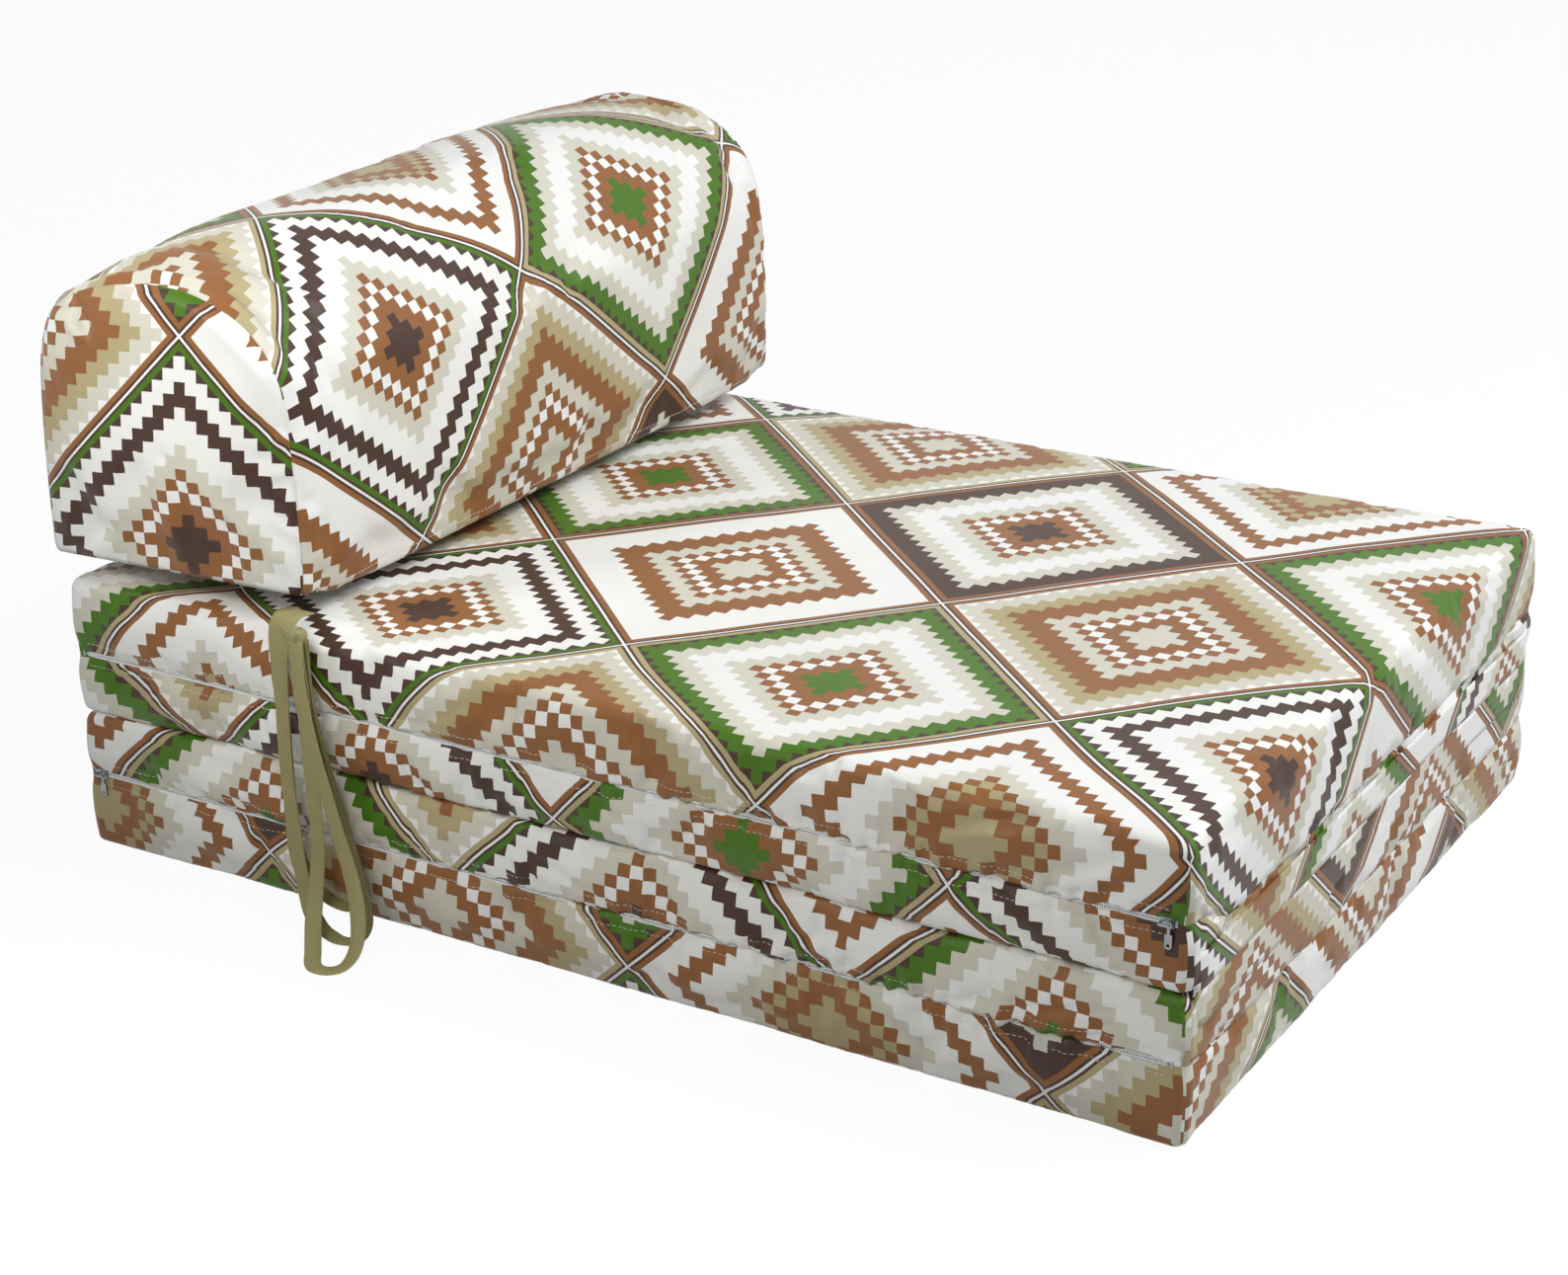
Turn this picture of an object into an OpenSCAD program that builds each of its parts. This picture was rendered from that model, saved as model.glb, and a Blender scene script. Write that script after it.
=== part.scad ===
// Chair bed: two stacked foam blocks, joined along their front edge so that
// the upper one swings over to make a bed, and a bolster that is the backrest
// of the chair and the pillow of the bed.
// The origin is on the floor, under the middle of the blocks. X runs from the
// rear to the front, Y from the near side with the zips to the far side, Z up.

/* [Blocks] */
// Length of each block, rear to front
block_l = 900; // [700:10:1100]
// Width of the blocks, side to side
block_w = 626; // [500:2:900]
// Thickness of one covered block
block_h = 106; // [84:1:160]
// Gap between the two stacked blocks
stack_gap = 0.4; // [0.3:0.1:3]
// Radius of the upright corners, seen from above
corner_r = 10; // [7:0.5:24]
// Radius of the edges that lie on the floor
foot_edge_r = 5; // [3:0.5:9]
// Radius of the edges where the two blocks face each other
fold_edge_r = 8; // [4:0.5:14]
// Radius of the seat's upper edge
seat_edge_r = 17; // [8:0.5:22]
// Height of the seat's crown over its edge
seat_crown = 4; // [3:0.5:8]

/* [Covers] */
// Thickness of the cover cloth with its wadding
cover_t = 1.5; // [0.8:0.1:1.7]
// How far the mid seam and the zip lie inside the side's fullest place
seam_dip = 3; // [2:0.25:6]
// How far the mid seam and the zip lie from the middle of a side, towards the other block
zip_shift = 5; // [-8:0.5:8]
// How far the stitch line beside the zip lies from the zip's own line
stitch_h = 11; // [7:0.5:16]
// How far the stitch line lies inside the side's fullest place
stitch_dip = 1.2; // [0.5:0.1:2]
// How far the edges of a side lie inside its fullest place
edge_dip = 1.5; // [0.5:0.25:3]
// How far each side draws in between its corners
side_draw = 2; // [0:0.25:4]
// Clearance between pieces that lie or slide on each other
fit_gap = 0.3; // [0.2:0.05:0.4]

/* [Bolster] */
// Depth of the bolster, rear to front
bolster_d = 235; // [160:5:320]
// Height of the bolster over its base
bolster_h = 250; // [160:5:320]
// How far the bolster's rear stands out behind the blocks
bolster_overhang = 11; // [6:0.5:30]
// How far the middle of each end panel stands out
end_dome = 7; // [3:0.5:14]
// Thickness of an end panel at its seam
end_rim = 1.2; // [0.8:0.1:2]
// Thickness of the hinge flap sewn under the bolster
flap_t = 0.9; // [0.7:0.05:1.1]
// Thickness of the hinge flap sewn on the seat
seat_flap_t = 0.5; // [0.3:0.05:0.6]
// Depth of the flap on the seat
seat_flap_d = 44; // [30:1:44]
// Depth of the flap under the bolster
flap_d = 40; // [20:1:70]
// Distance from each end of the flaps to the side of the blocks
flap_margin = 60; // [50:5:150]

/* [Fold strips] */
// Thickness of the cloth strips that join the two blocks
strip_t = 1; // [0.6:0.1:2]
// Height of each strip
strip_h = 25; // [20:0.5:28]
// Half the gap between the strips at the fold line
strip_gap = 0.15; // [0.1:0.05:0.3]

/* [Zips] */
// Width of the opening between the two cloth edges
zip_open = 8; // [7.6:0.1:10]
// Width of the closed coil
coil_w = 4.4; // [3.4:0.1:4.6]
// Thickness of the coil
coil_t = 1.9; // [1.8:0.1:2.6]
// Slit between the two halves of the coil
coil_slit = 0.9; // [0.8:0.05:1.2]
// Width of one woven tape
zip_tape_w = 13; // [9:0.5:16]
// Thickness of the woven tape
zip_tape_t = 0.6; // [0.4:0.1:1]
// Length of a stop
stop_l = 2; // [1.5:0.1:4]
// How far a stop stands out of the coil
stop_t = 0.6; // [0.4:0.1:1.2]

/* [Slider and pull] */
// Length of the slider
slider_l = 9; // [8:0.5:12]
// Width of the slider
slider_w = 7; // [6.8:0.1:7.4]
// Thickness of each slider plate
plate_t = 0.8; // [0.6:0.1:1.2]
// Thickness of the web between the slider's plates
web_t = 0.4; // [0.3:0.05:0.5]
// Length of the web between the slider's plates
web_l = 2.6; // [2:0.2:3.4]
// Diameter of the round post that carries the pull
post_d = 1.6; // [1.2:0.1:2]
// Thickness of the slider's bridge bar
bridge_t = 0.9; // [0.6:0.1:1.4]
// Width of the slider's bridge bar
bridge_w = 1.6; // [1.2:0.1:2]
// Length of the pull, from its pivot to its tip
pull_l = 16; // [12:0.5:22]
// Width of the pull's tongue
pull_w = 5; // [4:0.5:6]
// Width of the pull's neck
neck_w = 1.8; // [1.4:0.1:2.2]
// Length of the pull's neck, from the pivot
neck_l = 6; // [5.6:0.1:7]
// Thickness of the pull
pull_t = 0.9; // [0.7:0.1:1.4]
// Diameter of the pull's eye, outside
eye_d = 4.6; // [4:0.1:5]
// Diameter of the hole near the pull's tip
tip_hole_d = 2.2; // [1.4:0.1:3]
// Radial clearance of the pull on its post
pivot_gap = 0.1; // [0.05:0.01:0.15]
// Clearance between the pull and the cover behind it
pull_clear = 0.4; // [0.3:0.05:0.8]

/* [Tie tape] */
// Width of the tie tape
tie_w = 12; // [8:0.5:14]
// Thickness of the tie tape
tie_t = 1.2; // [0.8:0.1:1.6]
// Width of the knot
knot_w = 16; // [12:0.5:20]
// Height of the knot
knot_h = 12; // [10:0.5:16]
// Thickness of the knot
knot_t = 11; // [10:0.5:12]
// Length of the short end that sticks out of the knot
tail_l = 7; // [4:0.5:12]

/* [Hidden] */

// Colours
cloth_white = "#efe9dc";
cloth_brown = "#a5673a";
cloth_dark = "#5a3c36";
cloth_green = "#5a9a28";
cloth_khaki = "#cdbe94";
foam_yellow = "#e9dfae";
tape_grey = "#c3c8cb";
coil_grey = "#aeb4b8";
zip_metal = "#8d9294";
tie_olive = "#8f8a5c";

// Steps along the plan outline of a block
corner_steps = 3;
long_steps = 8;
short_steps = 6;
corner_count = corner_steps + 1;
near_first = 3 * corner_count + long_steps + short_steps - 3;

// Heights of the blocks
upper_z = block_h + stack_gap;
seat_z = upper_z + block_h;
fold_z = block_h + stack_gap / 2;
lower_zip_z = block_h / 2 + zip_shift;
upper_zip_z = upper_z + block_h / 2 - zip_shift;
stitch_draw_share = 0.5;
full_share = 0.5;
edge_steps = 3;

// The seat's crown, as shares of the width inside the edge and of the crown's height
crown_inset_shares = [0.09, 0.18, 0.28];
crown_drop_shares = [0.4, 0.1, 0];

// Depths behind the side's fullest place, from the coil's front to the foam
coil_front = seam_dip;
coil_back = coil_front + coil_t;
tape_back = coil_back + zip_tape_t;
plate_front = tape_back + fit_gap;
foam_inset = plate_front + plate_t + fit_gap;
outer_plate_back = coil_front - fit_gap;
outer_plate_front = outer_plate_back - plate_t;

// The zip's length, its stops and where its slider parks
coil_l = block_l - 2 * corner_r - 2 * fit_gap;
park_x = coil_l / 2 - stop_l - slider_l / 2 - fit_gap;

// The pull and its bridge, in front of the side's fullest place
pull_back = -pull_clear;
bridge_back = pull_back - pull_t - fit_gap;
bridge_front = bridge_back - bridge_t;
post_x = slider_l / 4;
leg_x = -slider_l / 2 + bridge_w / 2;

// The fold line at the front, and the bolster's hinge line at the rear
strip_x = block_l / 2 + fit_gap;
fold_x = strip_x + strip_t + strip_gap;
bolster_rear = -block_l / 2 - bolster_overhang;
bolster_z = seat_z + fit_gap;
hinge_z = bolster_z - flap_t - strip_gap;
hinge_x = -block_l / 2 - (bolster_overhang + fit_gap) / 2;

// Side view of the bolster, from its rear foot over the top to its front foot:
// shares of its depth from the rear, and of its height
bolster_shares = [[0.02, 0], [0.004, 0.02], [0, 0.1], [0, 0.35], [0.01, 0.59], [0.03, 0.73],
                  [0.077, 0.845], [0.153, 0.91], [0.268, 0.957], [0.396, 0.985], [0.536, 1],
                  [0.685, 0.985], [0.821, 0.932], [0.911, 0.86], [0.966, 0.768], [0.991, 0.648],
                  [1, 0.43], [1, 0.19], [0.997, 0.06], [0.985, 0.015], [0.965, 0]];
outline_last = len(bolster_shares) - 1;
// Stations along the bolster: share of its half width, share of its height, the
// share by which its top draws in, and the share of its height that its foot lifts
bolster_station_shares = [[-1, 0.93, 0.03, 0.05], [-0.965, 0.95, 0.015, 0.035],
                          [-0.86, 0.975, 0.005, 0.01], [-0.6, 0.995, 0, 0], [0, 1, 0, 0],
                          [0.6, 0.997, 0, 0], [0.9, 0.992, 0.004, 0.01],
                          [0.97, 0.984, 0.012, 0.03], [1, 0.975, 0.025, 0.04]];
station_last = len(bolster_station_shares) - 1;
bolster_half = block_w / 2 - end_dome;
// The dome of an end panel: share of its outline, share of the dome's height
dome_shares = [[0.3, 0.95], [0.62, 0.78], [0.88, 0.45]];

// The three strands of the tie tape: x, y, z of the tape's middle and the direction
// of its width, in degrees from X seen from above. The rear and middle strands leave
// the bolster's seam, turn at the bottom and end in the knot, where the bow's loop
// starts and ends.
rear_route = [[-243, -298, 223, 0], [-243, -305, 224, 0], [-243, -312, 224, 0],
              [-243, -318, 219, 0], [-243, -321, 208, 0], [-242, -322, 184, 0],
              [-241, -322, 150, 0], [-241, -322, 115, 0], [-241, -322, 82, 0],
              [-240, -322, 56, 14], [-237, -322, 38, 42], [-231, -322, 27, 66],
              [-222, -322, 19, 82], [-211, -322.5, 14, 90], [-200, -323, 12, 92],
              [-190, -323, 12.5, 98], [-183, -322, 17, 116], [-181, -321.5, 26, 142],
              [-184, -321, 42, 165], [-192, -321, 68, 178], [-202, -321, 100, 180],
              [-212, -321, 136, 180], [-218, -321, 170, 180], [-219, -321.3, 196, 180],
              [-216, -324, 216, 180]];
middle_route = [[-230, -299, 223, 0], [-230, -306, 224.3, 0], [-230, -313, 225, 0],
                [-231, -320, 221, 0], [-232.5, -325, 211, 0], [-235, -326.5, 190, 0],
                [-237, -326.5, 158, 0], [-238, -326.5, 126, 0], [-237.5, -326.5, 94, 0],
                [-235, -326.8, 66, 0], [-231, -328.7, 40, 2], [-226, -331.4, 23, 8],
                [-219.5, -334.7, 10, 20], [-211.5, -338, 3, 36], [-203, -342, 0.9, 52],
                [-193, -346, 0.9, 66], [-183, -349, 0.9, 88], [-174, -347, 0.9, 118],
                [-169, -341, 2.5, 148], [-169, -334, 9, 166], [-174, -328.5, 20, 176],
                [-181, -326, 40, 180], [-191, -324.5, 70, 180], [-202, -324, 102, 180],
                [-212, -324, 140, 180], [-217, -324, 174, 180], [-217, -325, 200, 180],
                [-216, -326.4, 216, 180]];
bow_route = [[-217, -328.8, 217, 0], [-216, -330.5, 204, 0], [-214, -331, 182, 0],
             [-213, -331, 150, 0], [-212, -331, 112, 0], [-210, -331.5, 84, 0],
             [-208.5, -334, 58, 2], [-207.5, -339, 38, 8], [-204, -347, 24, 20],
             [-199, -356, 14, 32], [-191, -367, 6, 42], [-184, -376, 2.5, 48],
             [-178, -384, 0.9, 60], [-170, -390, 0.9, 84], [-160, -389, 0.9, 112],
             [-153, -382, 2, 142], [-151, -373, 7, 164], [-153, -364, 15, 176],
             [-158, -356, 24, 182], [-166, -347, 36, 184], [-176, -340, 53, 184],
             [-187, -336.5, 78, 181], [-197, -335, 108, 180], [-206, -335, 142, 180],
             [-212, -335, 176, 180], [-214, -334, 202, 180], [-216, -331.6, 216, 180]];
knot_place = [-217, -328, 219];
// Section of the tie tape: shares of its half width and half thickness
tie_section_shares = [[1, -0.4], [1, 0.4], [0.9, 1], [-0.9, 1],
                      [-1, 0.4], [-1, -0.4], [-0.9, -1], [0.9, -1]];
knot_round_share = 0.3;
knot_facets = 20;
tail_share = 0.6;

// Plan outlines of a block

function corner_arc(ax, ay, r, start) =
    [for (k = [0:corner_steps]) let (a = start + 90 * k / corner_steps)
        [ax + r * cos(a), ay + r * sin(a)]];

// One outline of the block, this far inside its fullest place, drawn in between
// its corners by this much
function plan_outline(inset, draw) =
    let (hx = block_l / 2 - inset, hy = block_w / 2 - inset,
         r = max(corner_r - inset, corner_r / 4), ax = hx - r, ay = hy - r)
    concat(corner_arc(ax, ay, r, 0),
           [for (k = [1:long_steps - 1]) let (t = 1 - 2 * k / long_steps)
               [t * ax, hy - draw * (1 - t * t)]],
           corner_arc(-ax, ay, r, 90),
           [for (k = [1:short_steps - 1]) let (t = 1 - 2 * k / short_steps)
               [draw * (1 - t * t) - hx, t * ay]],
           corner_arc(-ax, -ay, r, 180),
           [for (k = [1:long_steps - 1]) let (t = 2 * k / long_steps - 1)
               [t * ax, draw * (1 - t * t) - hy]],
           corner_arc(ax, -ay, r, 270),
           [for (k = [1:short_steps - 1]) let (t = 2 * k / short_steps - 1)
               [hx - draw * (1 - t * t), t * ay]]);

// A ring at one height. near_rise lifts only the stretch along the near side,
// where the zip's opening is.
function ring(inset, draw, z, near_rise = 0) =
    let (plan = plan_outline(inset, draw))
    [for (i = [0:len(plan) - 1])
        [plan[i].x, plan[i].y,
         z + (i >= near_first && i <= near_first + long_steps ? near_rise : 0)]];

function reversed(list) = [for (i = [len(list) - 1:-1:0]) list[i]];

function middle(points) = [for (axis = [0:2]) sum([for (p = points) p[axis]]) / len(points)];

function sum(list, i = 0) = i < len(list) ? list[i] + sum(list, i + 1) : 0;

// Faces of a skin through rings of n points each, m rings
function side_faces(n, m) =
    [for (i = [0:m - 2], k = [0:n - 1], half = [0, 1])
        let (a = i * n + k, b = i * n + (k + 1) % n, c = b + n, d = a + n)
        half == 0 ? [a, d, c] : [a, c, b]];

// A closed skin through rings, each end shut by a fan round its own middle
module skin(rings, start_mid, end_mid) {
    n = len(rings[0]);
    m = len(rings);
    polyhedron(
        points = concat([for (r = rings, p = r) p], [start_mid, end_mid]),
        faces = concat(side_faces(n, m),
                       [for (k = [0:n - 1]) [n * m, k, (k + 1) % n]],
                       [for (k = [0:n - 1]) [n * m + 1, n * (m - 1) + (k + 1) % n, n * (m - 1) + k]]));
}

// Rings round an edge of radius r, from its panel to its side. up is 1 at a low
// edge and -1 at a high one.
function edge_rings(z, up, r, inset, draw) =
    [for (k = [0:edge_steps]) let (a = 90 * k / edge_steps)
        ring(inset + r * (1 - sin(a)), draw, z + up * r * (1 - cos(a)))];

// Rings up one side of a block, from its edge towards the mid seam h away
function band_rings(z, up, r, h) =
    concat(edge_rings(z, up, r, edge_dip, side_draw),
           [ring(0, side_draw, z + up * h * full_share),
            ring(stitch_dip, side_draw * stitch_draw_share, z + up * (h - stitch_h))]);

function rim_ring(z, up, inset) = ring(inset, 0, z, -up * zip_open / 2);

function lining_rings(z, up, r, h) =
    concat(edge_rings(z + up * cover_t, up, r - cover_t, edge_dip + cover_t, side_draw),
           [ring(stitch_dip + cover_t, side_draw * stitch_draw_share, z + up * (h - stitch_h))]);

// The half of a cover below its zip
module cover_base(z, mid, r) {
    skin(concat(band_rings(z, 1, r, mid - z),
                [rim_ring(mid, 1, seam_dip), rim_ring(mid, 1, seam_dip + cover_t)],
                reversed(lining_rings(z, 1, r, mid - z))),
         [0, 0, z], [0, 0, z + cover_t]);
}

// Rings of the crowned panel, from its edge of radius r inwards
function crown_rings(top, r, crown, drop) =
    [for (i = [0:len(crown_inset_shares) - 1])
        ring(r + edge_dip + block_w / 2 * crown_inset_shares[i], 0,
             top - crown * crown_drop_shares[i] - drop)];

// The half of a cover above its zip, with a crown on its panel
module cover_top(z, mid, r, crown) {
    top = z + block_h;
    edge = top - crown;
    panel = crown > 0 ? crown_rings(top, r, crown, 0) : [];
    panel_lining = crown > 0 ? crown_rings(top, r, crown, cover_t) : [];
    skin(concat(reversed(panel_lining), lining_rings(edge, -1, r, edge - mid),
                [rim_ring(mid, -1, seam_dip + cover_t), rim_ring(mid, -1, seam_dip)],
                reversed(band_rings(edge, -1, r, edge - mid)), panel),
         [0, 0, top - cover_t], [0, 0, top]);
}

// The foam inside a cover, its edges eased under the cover's own
module foam_block(z, low_r, high_r, crown) {
    bottom = z + cover_t + fit_gap;
    top = z + block_h - cover_t - fit_gap;
    edge = top - crown;
    panel = crown > 0 ? crown_rings(z + block_h, high_r, crown, cover_t + fit_gap) : [];
    skin(concat([ring(low_r + foam_inset, 0, bottom),
                 ring(foam_inset, 0, bottom + low_r),
                 ring(foam_inset, 0, edge - high_r)],
                reversed(edge_rings(edge, -1, high_r, foam_inset, 0)),
                panel),
         [0, 0, bottom], [0, 0, top]);
}

// Zips

// Places pieces that are drawn with Y as the depth behind the near side
module on_near_side(x, z) translate([x, -block_w / 2, z]) children();

// Extrudes an outline drawn in depth and height along X
module along_x(l) translate([-l / 2, 0, 0]) rotate([90, 0, 90]) linear_extrude(l) children();

// One woven tape; side is 1 above the coil and -1 below it
module zip_tape(z, side) {
    low = side > 0 ? coil_slit / 2 : -coil_slit / 2 - zip_tape_w;
    color(tape_grey) on_near_side(0, z) along_x(coil_l)
        translate([coil_back, low]) square([zip_tape_t, zip_tape_w]);
}

// Both halves of the coil, each with its outer edges eased
module zip_coil(z) {
    half_w = (coil_w - coil_slit) / 2;
    ease = coil_t / 4;
    color(coil_grey) on_near_side(0, z) for (side = [-1, 1])
        along_x(coil_l) translate([coil_front, side * (coil_slit + half_w) / 2])
            polygon([[0, ease - half_w / 2], [ease, -half_w / 2], [coil_t, -half_w / 2],
                     [coil_t, half_w / 2], [ease, half_w / 2], [0, half_w / 2 - ease]]);
}

// The stops at both ends of the coil
module zip_stops(z) {
    color(zip_metal) on_near_side(0, z) for (end = [-1, 1])
        translate([end * (coil_l - stop_l) / 2 - stop_l / 2, coil_front - stop_t, -coil_w / 2])
            cube([stop_l, stop_t, coil_w]);
}

// The slider: two plates with flanges round the coil, the web between the coil's
// halves, and the bridge with its round post
module zip_slider(x, z) {
    flange_t = slider_w / 2 - coil_w / 2 - fit_gap;
    color(zip_metal) on_near_side(x, z) {
        for (y = [outer_plate_front, plate_front])
            translate([-slider_l / 2, y, -slider_w / 2]) cube([slider_l, plate_t, slider_w]);
        for (side = [-1, 1])
            translate([-slider_l / 2, outer_plate_front,
                       side * (slider_w - flange_t) / 2 - flange_t / 2])
                cube([slider_l, coil_back - fit_gap - outer_plate_front, flange_t]);
        translate([slider_l / 2 - web_l, outer_plate_front, -web_t / 2])
            cube([web_l, plate_front + plate_t - outer_plate_front, web_t]);
        translate([post_x, outer_plate_front + plate_t / 2, 0]) rotate([90, 0, 0])
            cylinder(d = post_d, h = outer_plate_front + plate_t / 2 - bridge_back + bridge_t / 2,
                     $fn = 32);
        translate([leg_x - bridge_w / 2, bridge_front, -bridge_w / 2])
            cube([bridge_w / 2, outer_plate_front + plate_t / 2 - bridge_front, bridge_w]);
        translate([leg_x - bridge_w / 2, bridge_front, -bridge_w / 2])
            cube([post_x + post_d / 2 - leg_x + bridge_w / 2, bridge_t, bridge_w]);
    }
}

// The pull: an eye on the post, a neck, and a tongue with a hole near its tip
module zip_pull(x, z) {
    tip_r = pull_w / 2;
    color(zip_metal) on_near_side(x + post_x, z) translate([0, pull_back, 0])
        rotate([90, 0, 0]) linear_extrude(pull_t) difference() {
            union() {
                circle(d = eye_d, $fn = 48);
                translate([-neck_w / 2, -neck_l - tip_r / 2]) square([neck_w, neck_l + tip_r / 2]);
                translate([-pull_w / 2, tip_r - pull_l]) square([pull_w, pull_l - tip_r - neck_l]);
                translate([0, tip_r - pull_l]) circle(d = pull_w, $fn = 48);
            }
            circle(d = post_d + 2 * pivot_gap, $fn = 48);
            translate([0, tip_r - pull_l]) circle(d = tip_hole_d, $fn = 48);
        }
}

// Fold strips and hinge flaps

// A strip that follows the drawn-in front of one block; up is 1 on the upper
// block and -1 on the lower
module fold_strip(up) {
    low = up > 0 ? fold_z + strip_gap : fold_z - strip_gap - strip_h;
    half_l = block_w / 2 - corner_r;
    rings = [for (k = [0:short_steps])
        let (t = 2 * k / short_steps - 1, x = strip_x - side_draw * (1 - t * t))
        [[x, t * half_l, low], [x, t * half_l, low + strip_h],
         [x + strip_t, t * half_l, low + strip_h], [x + strip_t, t * half_l, low]]];
    color(cloth_white) skin(rings, middle(rings[0]), middle(rings[short_steps]));
}

module hinge_flap(z, t, d) {
    length = block_w - 2 * flap_margin;
    color(cloth_white) translate([hinge_x + strip_gap, -length / 2, z]) cube([d, length, t]);
}

// Bolster

// One station's side view, from the rear foot to the front foot
function bolster_outline(i) =
    let (station = bolster_station_shares[i])
    [for (s = bolster_shares)
        let (draw_in = station[2] * s[1])
        [bolster_rear + bolster_d * (1 / 2 + (s[0] - 1 / 2) * (1 - draw_in)),
         bolster_z + bolster_h * (station[3] + (station[1] - station[3]) * s[1])]];

// The same outline moved inwards by d, and not below its feet, which rise by
// foot_rise and otherwise move only along the base
function lined(outline, d, foot_rise = 0) =
    [for (i = [0:outline_last])
        let (before = outline[max(i - 1, 0)], after = outline[min(i + 1, outline_last)],
             run = after - before, size = norm(run), p = outline[i])
        i == 0 ? [p.x + d, p.y + foot_rise]
        : i == outline_last ? [p.x - d, p.y + foot_rise]
        : [p.x + d * run.y / size, max(p.y - d * run.x / size, outline[0].y + foot_rise)]];

function at_y(outline, y) = [for (p = outline) [p.x, y, p.y]];

function station_y(i) = bolster_station_shares[i][0] * bolster_half;

// The wrap: front, top and rear in one cloth, open below
module bolster_wrap() {
    n = 2 * (outline_last + 1);
    m = station_last + 1;
    strip = [for (i = [0:outline_last - 1], half = [0, 1])
        let (a = i, b = i + 1, c = n - 2 - i, d = n - 1 - i)
        half == 0 ? [a, b, c] : [a, c, d]];
    last = n * (m - 1);
    color(cloth_brown) polyhedron(
        points = [for (i = [0:station_last])
            let (outline = bolster_outline(i))
            each at_y(concat(outline, reversed(lined(outline, cover_t))), station_y(i))],
        faces = concat(side_faces(n, m), strip,
                       [for (f = strip) [last + f[2], last + f[1], last + f[0]]]));
}

module bolster_foam() {
    d = cover_t + fit_gap;
    rings = [for (i = [0:station_last])
        at_y(lined(bolster_outline(i), d, cover_t + fit_gap),
             station_y(i) - sign(station_y(i)) * fit_gap)];
    color(foam_yellow) skin(rings, middle(rings[0]), middle(rings[station_last]));
}

module bolster_base_panel() {
    d = cover_t + fit_gap;
    rings = [for (i = [0:station_last])
        let (outline = bolster_outline(i), low = outline[0], high = outline[outline_last])
        at_y([[low.x + d, low.y], [low.x + d, low.y + cover_t],
              [high.x - d, high.y + cover_t], [high.x - d, high.y]], station_y(i))];
    color(cloth_khaki) skin(rings, middle(rings[0]), middle(rings[station_last]));
}

// A domed end panel; side is -1 at the near end and 1 at the far end
module bolster_end(side) {
    outline = bolster_outline(side < 0 ? 0 : station_last);
    flat = at_y(outline, side * bolster_half);
    centre = middle(flat);
    rings = concat([flat, at_y(outline, side * (bolster_half + end_rim))],
        [for (s = reversed(dome_shares)) [for (p = flat)
            [centre.x + (p.x - centre.x) * s[0],
             side * (bolster_half + end_rim + (end_dome - end_rim) * s[1]),
             centre.z + (p.z - centre.z) * s[0]]]]);
    peak = [centre.x, side * (bolster_half + end_dome), centre.z];
    color(cloth_dark)
        if (side > 0) skin(rings, centre, peak);
        else skin(reversed(rings), peak, centre);
}

// Tie tape

// Sweeps the flat section along a route. The width keeps to its own direction,
// squared to the route.
module flat_tape(route) {
    last = len(route) - 1;
    place = [for (r = route) [r[0], r[1], r[2]]];
    rings = [for (i = [0:last])
        let (run = place[min(i + 1, last)] - place[max(i - 1, 0)],
             along = run / norm(run),
             wide = [cos(route[i][3]), sin(route[i][3]), 0],
             square_wide = wide - (wide * along) * along,
             w = square_wide / norm(square_wide),
             t = cross(along, w))
        [for (s = tie_section_shares) place[i] + w * s[0] * tie_w / 2 + t * s[1] * tie_t / 2]];
    skin(rings, place[0], place[last]);
}

module tie_knot() {
    r = knot_t * knot_round_share;
    color(tie_olive) {
        hull() for (x = [-1, 1], y = [-1, 1], z = [-1, 1])
            translate(knot_place + [x * (knot_w / 2 - r), y * (knot_t / 2 - r),
                                    z * (knot_h / 2 - r)])
                sphere(r, $fn = knot_facets);
        translate(knot_place - [knot_w / 2 + tail_l, tie_t / 2, tie_w * tail_share])
            cube([knot_w / 2 + tail_l, tie_t, tie_w * tail_share]);
    }
}

color(foam_yellow) foam_block(0, foot_edge_r, fold_edge_r, 0);  // lower_foam
color(cloth_brown) cover_base(0, lower_zip_z, foot_edge_r);  // lower_cover_base
color(cloth_white) cover_top(0, lower_zip_z, fold_edge_r, 0);  // lower_cover_top
zip_tape(lower_zip_z, -1);  // lower_zip_tape_base
zip_tape(lower_zip_z, 1);  // lower_zip_tape_top
zip_coil(lower_zip_z);  // lower_zip_coil
zip_stops(lower_zip_z);  // lower_zip_stops
zip_slider(-park_x, lower_zip_z);  // lower_zip_slider
zip_pull(-park_x, lower_zip_z);  // lower_zip_pull
fold_strip(-1);  // fold_strip_lower
color(foam_yellow) foam_block(upper_z, fold_edge_r, seat_edge_r, seat_crown);  // upper_foam
color(cloth_green) cover_base(upper_z, upper_zip_z, fold_edge_r);  // upper_cover_base
color(cloth_white) cover_top(upper_z, upper_zip_z, seat_edge_r, seat_crown);  // upper_cover_top
zip_tape(upper_zip_z, -1);  // upper_zip_tape_base
zip_tape(upper_zip_z, 1);  // upper_zip_tape_top
zip_coil(upper_zip_z);  // upper_zip_coil
zip_stops(upper_zip_z);  // upper_zip_stops
zip_slider(park_x, upper_zip_z);  // upper_zip_slider
zip_pull(park_x, upper_zip_z);  // upper_zip_pull
fold_strip(1);  // fold_strip_upper
hinge_flap(hinge_z - strip_gap - seat_flap_t, seat_flap_t, seat_flap_d);  // seat_flap
bolster_foam();
bolster_wrap();
bolster_base_panel();
bolster_end(-1);  // bolster_end_near
bolster_end(1);  // bolster_end_far
hinge_flap(hinge_z + strip_gap, flap_t, flap_d);  // bolster_flap
color(tie_olive) flat_tape(rear_route);  // tie_tape_rear
color(tie_olive) flat_tape(middle_route);  // tie_tape_middle
color(tie_olive) flat_tape(bow_route);  // tie_tape_bow
tie_knot();
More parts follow.
